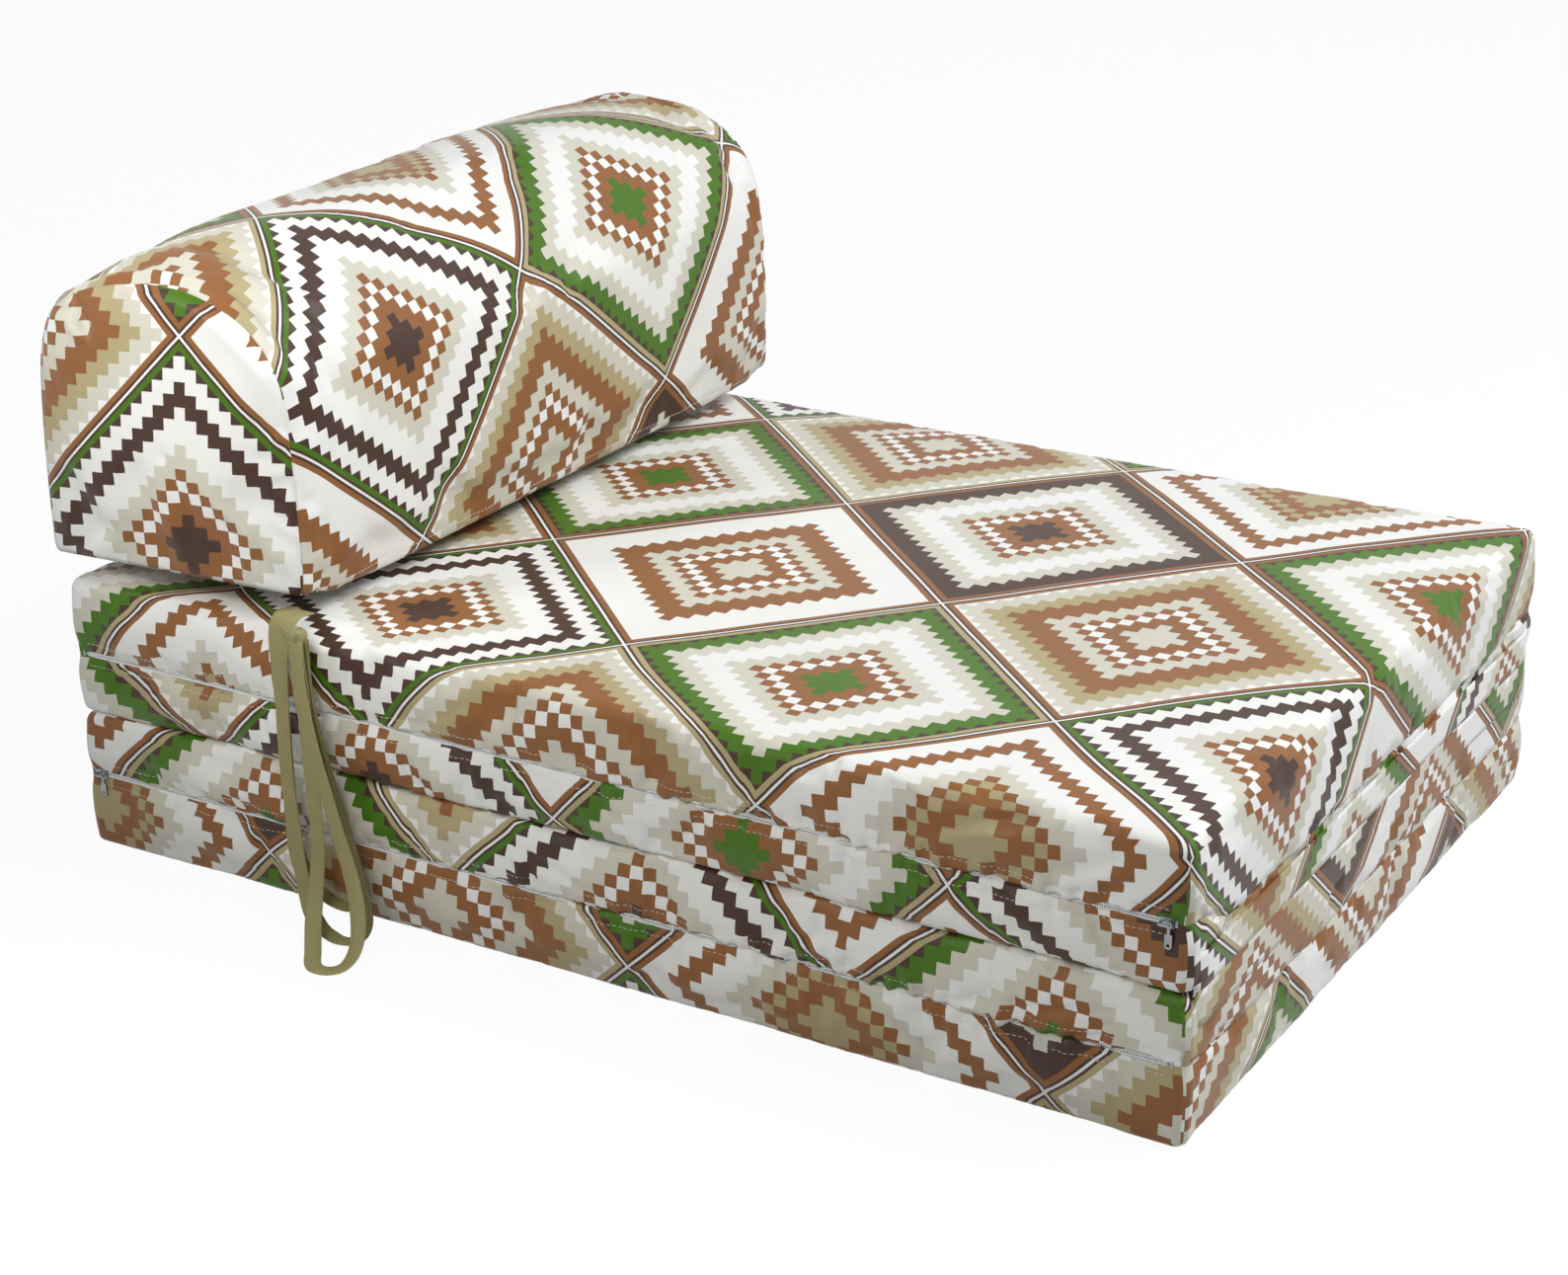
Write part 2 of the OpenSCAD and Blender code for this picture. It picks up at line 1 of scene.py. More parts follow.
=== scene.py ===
"""Chair bed: two printed foam blocks, the bolster that leans on the rear of the seat, zips and tie tape.

X runs from the rear to the front, Y from the near side with the zips to the far side, Z up, in metres.
"""
import math

import bmesh
import bpy
from mathutils import Matrix, Vector, noise
from mathutils.bvhtree import BVHTree
from mathutils.kdtree import KDTree


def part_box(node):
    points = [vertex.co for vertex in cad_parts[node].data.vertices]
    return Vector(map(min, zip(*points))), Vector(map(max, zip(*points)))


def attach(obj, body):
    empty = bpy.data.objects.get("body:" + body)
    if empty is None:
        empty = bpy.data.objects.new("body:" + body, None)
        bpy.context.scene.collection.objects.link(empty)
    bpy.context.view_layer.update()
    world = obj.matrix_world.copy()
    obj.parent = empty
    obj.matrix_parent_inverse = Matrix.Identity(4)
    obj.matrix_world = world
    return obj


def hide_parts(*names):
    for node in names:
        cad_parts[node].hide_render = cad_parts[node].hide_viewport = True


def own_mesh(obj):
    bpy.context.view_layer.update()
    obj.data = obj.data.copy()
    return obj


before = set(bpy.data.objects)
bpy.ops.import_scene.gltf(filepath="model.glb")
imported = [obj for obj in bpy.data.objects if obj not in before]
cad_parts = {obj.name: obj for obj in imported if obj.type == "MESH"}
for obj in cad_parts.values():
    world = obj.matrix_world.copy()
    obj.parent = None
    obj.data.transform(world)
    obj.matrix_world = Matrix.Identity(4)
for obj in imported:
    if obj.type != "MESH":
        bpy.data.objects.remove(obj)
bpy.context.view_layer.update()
MM = 0.001

# Sizes that the frame gives
lower_lo, lower_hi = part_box("lower_cover_base")[0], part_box("lower_cover_top")[1]
upper_lo, upper_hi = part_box("upper_cover_base")[0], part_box("upper_cover_top")[1]
half_l = lower_hi.x
half_w = lower_hi.y
fold_z = (lower_hi.z + upper_lo.z) / 2
coil_lo, coil_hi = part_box("lower_zip_coil")
lower_zip_z = (coil_lo.z + coil_hi.z) / 2
zip_half_l = coil_hi.x
coil_front_y = coil_lo.y
coil_w = coil_hi.z - coil_lo.z
upper_zip_z = sum(corner.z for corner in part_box("upper_zip_coil")) / 2
wrap_lo, wrap_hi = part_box("bolster_wrap")
bolster_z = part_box("bolster_end_near")[0].z

# Sizes of the covers
corner_r = 10 * MM
foot_edge_r = 5 * MM
fold_edge_r = 8 * MM
seat_edge_r = 9 * MM
seat_crown = 4 * MM
cover_t = 1.2 * MM
edge_dip = 1.5 * MM
side_draw = 2 * MM
seam_dip = 3 * MM
end_dome = 7 * MM
end_rim = 1.2 * MM
zip_half = 2.3 * MM

# Thread and tape sizes
tie_w = 12 * MM
tie_t = 1.2 * MM


def srgb(text):
    """A colour written as sRGB hex, as linear values with alpha."""
    shares = [int(text[i:i + 2], 16) / 255 for i in (1, 3, 5)]
    return [s / 12.92 if s <= 0.04045 else ((s + 0.055) / 1.055) ** 2.4 for s in shares] + [1.0]


def smooth(t):
    """Eased step from 0 to 1."""
    t = min(max(t, 0.0), 1.0)
    return t * t * (3 - 2 * t)


def mixed(a, b, t):
    return a + (b - a) * t


# Camera


def make_camera():
    """The camera of the photograph: its place, direction, roll and lens."""
    azimuth, elevation, roll = math.radians(31.69), math.radians(22.20), math.radians(-1.07)
    ahead = Vector((-math.sin(azimuth) * math.cos(elevation),
                    math.cos(azimuth) * math.cos(elevation), -math.sin(elevation)))
    right = Vector((math.cos(azimuth), math.sin(azimuth), 0))
    up = right.cross(ahead)
    across = right * math.cos(roll) + up * math.sin(roll)
    above = -right * math.sin(roll) + up * math.cos(roll)
    data = bpy.data.cameras.new("camera")
    data.sensor_width = 36
    data.lens = 70.79
    camera = bpy.data.objects.new("camera", data)
    camera.matrix_world = Matrix.Translation((1.1034, -1.8277, 1.0139)) @ Matrix(
        (across, above, -ahead)).transposed().to_4x4()
    bpy.context.scene.collection.objects.link(camera)
    bpy.context.scene.camera = camera


# Helpers for meshes


def finish_piece(bm, name, material, body, replaced=(), smooth_faces=True):
    """Makes the bmesh an object that rides on a body and stands for its CAD nodes."""
    mesh = bpy.data.meshes.new(name)
    bm.to_mesh(mesh)
    bm.free()
    for face in mesh.polygons:
        face.use_smooth = smooth_faces
    piece = bpy.data.objects.new(name, mesh)
    bpy.context.scene.collection.objects.link(piece)
    mesh.materials.append(material)
    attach(piece, body)
    if replaced:
        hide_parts(*replaced)
    return piece


def thicken(piece, thickness, offset=-1):
    """Gives an open sheet its cloth thickness."""
    wall = piece.modifiers.new("cloth", "SOLIDIFY")
    wall.thickness = thickness
    wall.offset = offset
    wall.use_even_offset = False


def spline(points, t):
    """A point on the smooth curve through points; t counts from 0 to their number less one."""
    i = min(int(t), len(points) - 2)
    w = t - i
    a, b, c, d = (Vector(points[min(max(k, 0), len(points) - 1)]) for k in (i - 1, i, i + 1, i + 2))
    return (b * 2 + (c - a) * w + (a * 2 - b * 5 + c * 4 - d) * w * w
            + (b * 3 - a - c * 3 + d) * w * w * w) / 2


def evenly(points, count, dense=16):
    """count + 1 points spaced evenly along the smooth curve through points, and its length."""
    steps = (len(points) - 1) * dense
    fine = [spline(points, k / dense) for k in range(steps + 1)]
    lengths = [0.0]
    for a, b in zip(fine, fine[1:]):
        lengths.append(lengths[-1] + (b.to_3d() - a.to_3d()).length)
    out, k = [], 0
    for n in range(count + 1):
        goal = lengths[-1] * n / count
        while k < steps - 1 and lengths[k + 1] < goal:
            k += 1
        out.append(fine[k].lerp(fine[k + 1], (goal - lengths[k]) / (lengths[k + 1] - lengths[k])))
    return out, lengths[-1]


# Materials


def new_material(name):
    """An empty material with its shader and output, and its node tree."""
    material = bpy.data.materials.new(name)
    material.use_nodes = True
    return material, material.node_tree, material.node_tree.nodes["Principled BSDF"]


def add(tree, kind, inputs, **settings):
    """Adds a node; inputs pairs a socket's name or number with a value or with another output."""
    node = tree.nodes.new(kind)
    for key, value in settings.items():
        setattr(node, key, value)
    for key, value in inputs.items():
        if isinstance(value, bpy.types.NodeSocket):
            tree.links.new(value, node.inputs[key])
        else:
            node.inputs[key].default_value = value
    return node


# The print: stepped diamonds on a lattice. Colours of a diamond's rings, from its centre
# outwards, as pairs of the ring's first step and its colour, and the line along its border.
INK = {
    "white": "#F2F2EF", "beige": "#D5D2C3", "brown": "#905F35",
    "dark": "#452F25", "green": "#456F0C", "khaki": "#B3A57D",
}
BROWN_RINGS = {3: "brown", 5: "white", 6: "brown", 7: "beige"}
DIAMONDS = [
    ("brown", {0: "beige", **BROWN_RINGS, 9: "brown", 12: "white"}),
    ("brown", {0: "dark", **BROWN_RINGS, 9: "white", 12: "beige", 14: "dark"}),
    ("khaki", {0: "green", **BROWN_RINGS, 9: "white", 12: "beige", 14: "green", 16: "dark"}),
    ("brown", {0: "beige", **BROWN_RINGS, 9: "brown", 12: "khaki", 14: "beige", 16: "white"}),
    ("brown", {0: "khaki", **BROWN_RINGS, 5: "khaki", 9: "white", 12: "brown", 14: "white"}),
    ("green", {0: "dark", **BROWN_RINGS, 9: "white", 12: "dark", 14: "white", 16: "dark"}),
    ("brown", {0: "green", **BROWN_RINGS, 9: "white", 12: "beige", 14: "green", 16: "dark"}),
    ("khaki", {0: "beige", **BROWN_RINGS, 9: "brown", 12: "khaki", 14: "beige", 16: "white"}),
]
DIAMOND_STEPS = 17
PRINT_REPEAT = 323.3 * MM
BORDER_SHARES = [0.95 * MM / PRINT_REPEAT, 2.9 * MM / PRINT_REPEAT, 7.0 * MM / PRINT_REPEAT]

# Each step names a value, its operation and what it works on. s and t are the print's
# place along the two directions of its lattice, in diamonds.
PRINT_STEPS = [
    ("x", "ADD", "s", "t"), ("x", "MULTIPLY", "x", DIAMOND_STEPS), ("x", "ROUND", "x", 0),
    ("y", "SUBTRACT", "s", "t"), ("y", "MULTIPLY", "y", DIAMOND_STEPS), ("y", "ROUND", "y", 0),
    ("a", "FLOOR", "s", 0), ("b", "FLOOR", "t", 0),
    ("cx", "ADD", "a", "b"), ("cx", "ADD", "cx", 1), ("cx", "MULTIPLY", "cx", DIAMOND_STEPS),
    ("cy", "SUBTRACT", "a", "b"), ("cy", "MULTIPLY", "cy", DIAMOND_STEPS),
    ("dx", "SUBTRACT", "x", "cx"), ("dx", "ABSOLUTE", "dx", 0),
    ("dy", "SUBTRACT", "y", "cy"), ("dy", "ABSOLUTE", "dy", 0),
    ("ring", "ADD", "dx", "dy"), ("ring", "ADD", "ring", 0.5), ("ring", "DIVIDE", "ring", 20),
    ("a_odd", "FLOORED_MODULO", "a", 2), ("b_odd", "FLOORED_MODULO", "b", 2),
    ("a_half", "DIVIDE", "a", 2), ("a_half", "FLOOR", "a_half", 0),
    ("b_half", "DIVIDE", "b", 2), ("b_half", "FLOOR", "b_half", 0),
    ("turn", "ADD", "a_half", "b_half"), ("turn", "FLOORED_MODULO", "turn", 2),
    ("kind", "MULTIPLY_ADD", "b_odd", 2, "a_odd"), ("kind", "MULTIPLY_ADD", "turn", 4, "kind"),
    ("near_s", "PINGPONG", "s", 0.5), ("near_t", "PINGPONG", "t", 0.5),
    ("border", "MINIMUM", "near_s", "near_t"), ("border", "DIVIDE", "border", math.sqrt(2)),
]


def printed_cotton():
    """Printed cotton satin: a smooth plain weave with a soft sheen. The print is sharp, the
    ground a warm white; the weave only breaks the highlights."""
    material, tree, shader = new_material("printed_cotton_satin")
    place = add(tree, "ShaderNodeUVMap", {}, uv_map="print")
    split = add(tree, "ShaderNodeSeparateXYZ", {0: place.outputs[0]})
    value = {"s": split.outputs[0], "t": split.outputs[1]}
    for name, operation, *terms in PRINT_STEPS:
        inputs = {k: value.get(term, term) for k, term in enumerate(terms)}
        value[name] = add(tree, "ShaderNodeMath", inputs, operation=operation).outputs[0]
    rings = None
    for kind, (line, steps) in enumerate(DIAMONDS):
        ramp = add(tree, "ShaderNodeValToRGB", {0: value["ring"]})
        ramp.color_ramp.interpolation = "CONSTANT"
        while len(ramp.color_ramp.elements) > 1:
            ramp.color_ramp.elements.remove(ramp.color_ramp.elements[0])
        ramp.color_ramp.elements[0].position = 0
        ramp.color_ramp.elements[0].color = srgb(INK[steps[0]])
        for step in sorted(steps)[1:]:
            ramp.color_ramp.elements.new(step / 20).color = srgb(INK[steps[step]])
        edge = add(tree, "ShaderNodeMath", {0: value["border"], 1: BORDER_SHARES[2]},
                   operation="LESS_THAN")
        lined = add(tree, "ShaderNodeMix", {0: edge.outputs[0], 6: ramp.outputs[0], 7: srgb(INK[line])},
                    data_type="RGBA")
        is_kind = add(tree, "ShaderNodeMath", {0: value["kind"], 1: kind, 2: 0.25}, operation="COMPARE")
        if rings is None:
            rings = lined.outputs[2]
        else:
            rings = add(tree, "ShaderNodeMix", {0: is_kind.outputs[0], 6: rings, 7: lined.outputs[2]},
                        data_type="RGBA").outputs[2]
    for share, ink in ((BORDER_SHARES[1], "dark"), (BORDER_SHARES[0], "white")):
        edge = add(tree, "ShaderNodeMath", {0: value["border"], 1: share}, operation="LESS_THAN")
        rings = add(tree, "ShaderNodeMix", {0: edge.outputs[0], 6: rings, 7: srgb(INK[ink])},
                    data_type="RGBA").outputs[2]
    # Uneven dye: the ink lies a little thinner in patches of a few centimetres
    spot = add(tree, "ShaderNodeTexCoord", {})
    patch = add(tree, "ShaderNodeTexNoise", {"Vector": spot.outputs["Object"], "Scale": 22.0,
                                             "Detail": 3.0})
    faded = add(tree, "ShaderNodeMapRange", {0: patch.outputs[0], 3: 0.93, 4: 1.03})
    dyed = add(tree, "ShaderNodeMix", {0: 1.0, 6: rings, 7: faded.outputs[0]},
               data_type="RGBA", blend_type="MULTIPLY")
    tree.links.new(dyed.outputs[2], shader.inputs["Base Color"])
    # Threads: 0.9 mm apart, three times the real spacing, so that the render can show them
    threads = PRINT_REPEAT / (0.9 * MM) * math.tau / 20
    weave = None
    for angle in (45, 135):
        turned = add(tree, "ShaderNodeMapping", {0: place.outputs[0],
                                                 2: (0, 0, math.radians(angle))})
        wave = add(tree, "ShaderNodeTexWave", {0: turned.outputs[0], 1: threads, 2: 0.6, 3: 1.0})
        weave = wave if weave is None else add(
            tree, "ShaderNodeMath", {0: weave.outputs[1], 1: wave.outputs[1]}, operation="ADD")
    bump = add(tree, "ShaderNodeBump", {"Strength": 0.12, "Distance": 0.0003,
                                        "Height": weave.outputs[0]})
    tree.links.new(bump.outputs[0], shader.inputs["Normal"])
    shader.inputs["Roughness"].default_value = 0.43
    shader.inputs["Specular IOR Level"].default_value = 0.25
    shader.inputs["Sheen Weight"].default_value = 0.05
    shader.inputs["Sheen Roughness"].default_value = 0.4
    return material


def polyurethane_foam():
    """Cut polyurethane foam: pale yellow, open cells about 1 mm wide, quite dull."""
    material, tree, shader = new_material("cut_polyurethane_foam")
    spot = add(tree, "ShaderNodeTexCoord", {})
    cells = add(tree, "ShaderNodeTexVoronoi", {"Vector": spot.outputs["Object"], "Scale": 1 / (1.2 * MM)})
    shade = add(tree, "ShaderNodeMapRange", {0: cells.outputs[0], 3: 0.7, 4: 1.0})
    tint = add(tree, "ShaderNodeMix", {0: 1.0, 6: srgb("#E9DFAE"), 7: shade.outputs[0]},
               data_type="RGBA", blend_type="MULTIPLY")
    bump = add(tree, "ShaderNodeBump", {"Strength": 0.5, "Distance": 0.0008, "Height": cells.outputs[0]})
    tree.links.new(tint.outputs[2], shader.inputs["Base Color"])
    tree.links.new(bump.outputs[0], shader.inputs["Normal"])
    shader.inputs["Roughness"].default_value = 0.9
    return material


def woven_tape(name, color, rib, roughness):
    """A narrow woven polyester tape: fine ribs across it, a thread's width apart."""
    material, tree, shader = new_material(name)
    place = add(tree, "ShaderNodeUVMap", {}, uv_map="run")
    ribs = add(tree, "ShaderNodeTexWave", {0: place.outputs[0], 1: math.tau / 20 / rib, 2: 1.5, 3: 2.0},
               bands_direction="DIAGONAL")
    patch = add(tree, "ShaderNodeTexNoise", {0: place.outputs[0], "Scale": 90.0, "Detail": 4.0})
    both = add(tree, "ShaderNodeMath", {0: ribs.outputs[1], 1: patch.outputs[0]}, operation="ADD")
    shade = add(tree, "ShaderNodeMapRange", {0: both.outputs[0], 2: 2.0, 3: 0.72, 4: 1.12})
    tint = add(tree, "ShaderNodeMix", {0: 1.0, 6: srgb(color), 7: shade.outputs[0]},
               data_type="RGBA", blend_type="MULTIPLY")
    bump = add(tree, "ShaderNodeBump", {"Strength": 0.6, "Distance": 0.0004, "Height": ribs.outputs[1]})
    tree.links.new(tint.outputs[2], shader.inputs["Base Color"])
    tree.links.new(bump.outputs[0], shader.inputs["Normal"])
    shader.inputs["Roughness"].default_value = roughness
    return material


def moulded_nylon():
    """The zip's nylon coil: smooth, slightly glossy monofilament in pale grey."""
    material, tree, shader = new_material("nylon_monofilament")
    spot = add(tree, "ShaderNodeTexCoord", {})
    patch = add(tree, "ShaderNodeTexNoise", {"Vector": spot.outputs["Object"], "Scale": 60.0})
    shade = add(tree, "ShaderNodeMapRange", {0: patch.outputs[0], 3: 0.9, 4: 1.05})
    tint = add(tree, "ShaderNodeMix", {0: 1.0, 6: srgb("#F2F4F4"), 7: shade.outputs[0]},
               data_type="RGBA", blend_type="MULTIPLY")
    tree.links.new(tint.outputs[2], shader.inputs["Base Color"])
    shader.inputs["Roughness"].default_value = 0.38
    return material


def zinc_casting():
    """The slider's nickel-plated zinc casting: a dull silver with rubbed, uneven gloss."""
    material, tree, shader = new_material("nickel_plated_zinc")
    spot = add(tree, "ShaderNodeTexCoord", {})
    rub = add(tree, "ShaderNodeTexNoise", {"Vector": spot.outputs["Object"], "Scale": 900.0,
                                           "Detail": 5.0})
    gloss = add(tree, "ShaderNodeMapRange", {0: rub.outputs[0], 3: 0.28, 4: 0.5})
    tree.links.new(gloss.outputs[0], shader.inputs["Roughness"])
    shade = add(tree, "ShaderNodeMapRange", {0: rub.outputs[0], 3: 0.85, 4: 1.05})
    tint = add(tree, "ShaderNodeMix", {0: 1.0, 6: srgb("#93989A"), 7: shade.outputs[0]},
               data_type="RGBA", blend_type="MULTIPLY")
    tree.links.new(tint.outputs[2], shader.inputs["Base Color"])
    shader.inputs["Metallic"].default_value = 1.0
    return material


def spun_thread():
    """Sewing thread: spun polyester in off-white, matt, with a twist too fine to see."""
    material, tree, shader = new_material("spun_polyester_thread")
    spot = add(tree, "ShaderNodeTexCoord", {})
    twist = add(tree, "ShaderNodeTexWave", {0: spot.outputs["Object"], 1: math.tau / 20 / (0.5 * MM)},
                bands_direction="DIAGONAL")
    shade = add(tree, "ShaderNodeMapRange", {0: twist.outputs[1], 3: 0.85, 4: 1.0})
    tint = add(tree, "ShaderNodeMix", {0: 1.0, 6: srgb("#F2EFE6"), 7: shade.outputs[0]},
               data_type="RGBA", blend_type="MULTIPLY")
    tree.links.new(tint.outputs[2], shader.inputs["Base Color"])
    shader.inputs["Roughness"].default_value = 0.75
    return material


# The print's place on each panel: the lattice corner (i, j), where it lies, and the
# lattice's two directions there, all in the panel's own coordinates.


class Laid:
    """How a length of printed cloth lies on a flat panel."""

    def __init__(self, corner, place, first, second):
        self.corner = corner
        self.place = place
        self.first = first
        self.second = second

    def at(self, u, v):
        """The print's s and t at a point of the panel, in metres."""
        du, dv = u / MM - self.place[0], v / MM - self.place[1]
        (ax, ay), (bx, by) = self.first, self.second
        area = ax * by - ay * bx
        return (self.corner[0] + (du * by - dv * bx) / area,
                self.corner[1] + (dv * ax - du * ay) / area)


SEAT_PRINT = Laid((0, 0), (-180.7, -73.5), (152.7, 173.8), (163.3, -147.5))
UPPER_BASE_NEAR = Laid((0, 1), (-19, 117.6), (157.3, 165.2), (147.3, -139.8))
UPPER_BASE_FRONT = Laid((2, 2), (104.3, 78.6), (-157.7, 125.2), (139.6, 137.8))
LOWER_TOP_NEAR = Laid((0, 1), (-112.5, 48), (-159.5, -155), (-159.5, 155))
LOWER_TOP_FRONT = Laid((1, 0), (-54.5, 53), (-156.8, 131.7), (155.7, 134.5))
LOWER_BASE_NEAR = Laid((1, -1), (40, 22), (-157, -148.5), (-157, 156.5))
LOWER_BASE_FRONT = Laid((1, 0), (150.5, 47.3), (155, -150), (-155, -142))
WRAP_PRINT = Laid((2, 2), (-170, 240), (-147, -169), (-166, 133.5))
END_PRINT = Laid((2, 2), (-311.5, 414.5), (182.6, 168), (160, -142))


# Block covers

ARC_ROWS = 5
SIDE_ROWS = 16
BAND_ROWS = ARC_ROWS + SIDE_ROWS
corner_seam = 1.1 * MM
zip_room = 3.5 * MM
seat_inner_x = half_l - seat_edge_r - edge_dip
seat_inner_y = half_w - seat_edge_r - edge_dip
seat_spare = 4.6 * MM

# Folds pressed into the near side: the ends of each in x and z, its width and its depth
NEAR_FOLDS = [
    (250, 174, 340, 204, 5, 1.8), (352, 170, 420, 196, 6, 2.2), (395, 166, 446, 182, 5, 2.4),
    (-120, 170, -84, 190, 5, 1.2), (60, 168, 92, 192, 6, 1.4), (-330, 166, -300, 186, 5, 1.2),
    (300, 68, 366, 79, 4, 2.2), (366, 79, 448, 96, 4, 2.2), (318, 66, 448, 84, 3.5, 1.8),
    (150, 70, 212, 92, 5, 1.4), (-210, 68, -160, 88, 5, 1.2), (-60, 92, 8, 72, 5, 1.2),
    (380, 148, 404, 112, 4, 1.6), (428, 146, 446, 120, 4, 1.8), (250, 146, 296, 118, 5, 1.3),
    (10, 148, 44, 122, 5, 1.2), (-260, 146, -228, 120, 5, 1.1), (404, 150, 404, 107, 1.4, 1.6),
    (210, 50, 262, 22, 6, 1.3), (400, 50, 440, 14, 6, 1.6), (-80, 50, -40, 20, 6, 1.2),
]


class CoverHalf:
    """The half of a block's cover on one side of its mid seam."""

    def __init__(self, name, body, panel_z, seam_z, edge_r, crown, drop, laid, seed):
        self.name = name
        self.body = body
        self.panel_z = panel_z
        self.seam_z = seam_z
        self.up = 1 if panel_z > seam_z else -1
        self.edge_r = edge_r
        self.crown = crown
        self.drop = drop
        self.laid = laid
        self.seed = seed
        self.panel_inset = edge_r + edge_dip


def plan_point(u, v, inset, draw):
    """Where a point of the unit square lies on a block's plan, this far inside its fullest
    place, with round corners and sides drawn in between them."""
    hx, hy = half_l - inset, half_w - inset
    r = max(corner_r - inset, corner_r / 4)
    cx, cy = hx - r, hy - r
    x, y = abs(u) * hx, abs(v) * hy
    if x > cx and y > cy:
        qx, qy = x - cx, y - cy
        pull = max(qx, qy) / math.hypot(qx, qy)
        x, y = cx + qx * pull, cy + qy * pull
    y -= draw * max(0.0, 1 - (x / cx) ** 2) * abs(v) ** 8
    x -= draw * max(0.0, 1 - (y / cy) ** 2) * abs(u) ** 8
    return math.copysign(x, u), math.copysign(y, v)


def seam_drop(u, v, depth):
    """How far the mid seam runs below the zip's line on the front, where the cloth has sagged."""
    y = v * half_w
    if u > 0.999:
        return depth * smooth((y + half_w - 6 * MM) / (62 * MM)) * mixed(1, 0.55, smooth((y - 0.2) / 0.12))
    if v > 0.999:
        return depth * 0.55 * smooth((u * half_l - half_l + 120 * MM) / (120 * MM))
    return 0.0


def crown_at(half, x, y):
    """How far the panel falls at its edge: not at all beside the bolster's near end, whose foot
    lies on it there."""
    return half.crown * (1 - smooth((-0.2 - x) / (60 * MM)) * smooth(-y / (200 * MM)))


def side_inset(w):
    """How far a side lies inside its fullest place at share w of the way from edge to seam."""
    if w < 0.5:
        return edge_dip * (1 - math.sin(math.pi * w))
    return seam_dip * smooth((w - 0.5) / 0.5) ** 1.7


def cover_cloth(half, long_cells, short_cells):
    """A cover half as one open cloth: its panel, its sides down or up to the mid seam, and
    the turned-in hem. Every point keeps its place on the cloth in four layers."""
    bm = bmesh.new()
    bmesh.ops.create_grid(bm, x_segments=long_cells, y_segments=short_cells, size=1)
    u_layer, v_layer, row_layer, run_layer = (bm.verts.layers.float.new(key)
                                              for key in ("u", "v", "row", "run"))
    for vert in bm.verts:
        u, v = vert.co.x, vert.co.y
        vert[u_layer], vert[v_layer] = u, v
        x, y = plan_point(u, v, half.panel_inset, side_draw)
        depth = min(half_l - half.panel_inset - abs(x), half_w - half.panel_inset - abs(y))
        fall = crown_at(half, x, y) * max(0.0, 1 - depth / (95 * MM)) ** 2.2
        vert.co = (x, y, half.panel_z - half.up * fall)
    rim_edges = [e for e in bm.edges if e.is_boundary]
    rows = []
    for k in range(1, ARC_ROWS + 1):
        angle = math.pi / 2 * k / ARC_ROWS
        rows.append((edge_dip + half.edge_r * (1 - math.sin(angle)), 0.0,
                     half.edge_r * (1 - math.cos(angle)), half.edge_r * angle))
    full_run = half.edge_r * math.pi / 2
    for k in range(1, SIDE_ROWS + 1):
        share = 1 - (1 - k / SIDE_ROWS) ** 1.3
        rows.append((side_inset(share), share, half.edge_r, full_run))
    rows += [(seam_dip + 1.2 * MM, 1.0, half.edge_r, full_run),
             (seam_dip + 3.5 * MM, 0.93, half.edge_r, full_run)]
    for index, (inset, share, fall, run) in enumerate(rows):
        grown = bmesh.ops.extrude_edge_only(bm, edges=rim_edges)["geom"]
        rim_edges = [g for g in grown if isinstance(g, bmesh.types.BMEdge) and g.is_boundary]
        for vert in {v for e in rim_edges for v in e.verts}:
            u, v = vert[u_layer], vert[v_layer]
            along_zip = smooth((zip_half_l + 4 * MM - abs(u) * half_l) / (10 * MM)) if v < -0.999 else 0.0
            rim = half.seam_z - seam_drop(u, v, half.drop) + half.up * zip_half * along_zip
            edge = half.panel_z - half.up * (crown_at(half, u * half_l, v * half_w) + fall)
            sewn = corner_seam * (index + 1) / ARC_ROWS if abs(u) > 0.999 and abs(v) > 0.999 else 0.0
            x, y = plan_point(u, v, inset + min(sewn, corner_seam), side_draw * (1 - share * 0.8))
            vert.co = (x, y, mixed(edge, rim, share))
            vert[row_layer] = index + 1
            vert[run_layer] = run + abs(mixed(edge, rim, share) - edge)
    bmesh.ops.recalc_face_normals(bm, faces=bm.faces)
    bm.normal_update()
    if sum(f.normal.z * half.up for f in bm.faces) < 0:
        bmesh.ops.reverse_faces(bm, faces=bm.faces)
    bm.normal_update()
    return bm, (u_layer, v_layer, row_layer, run_layer)


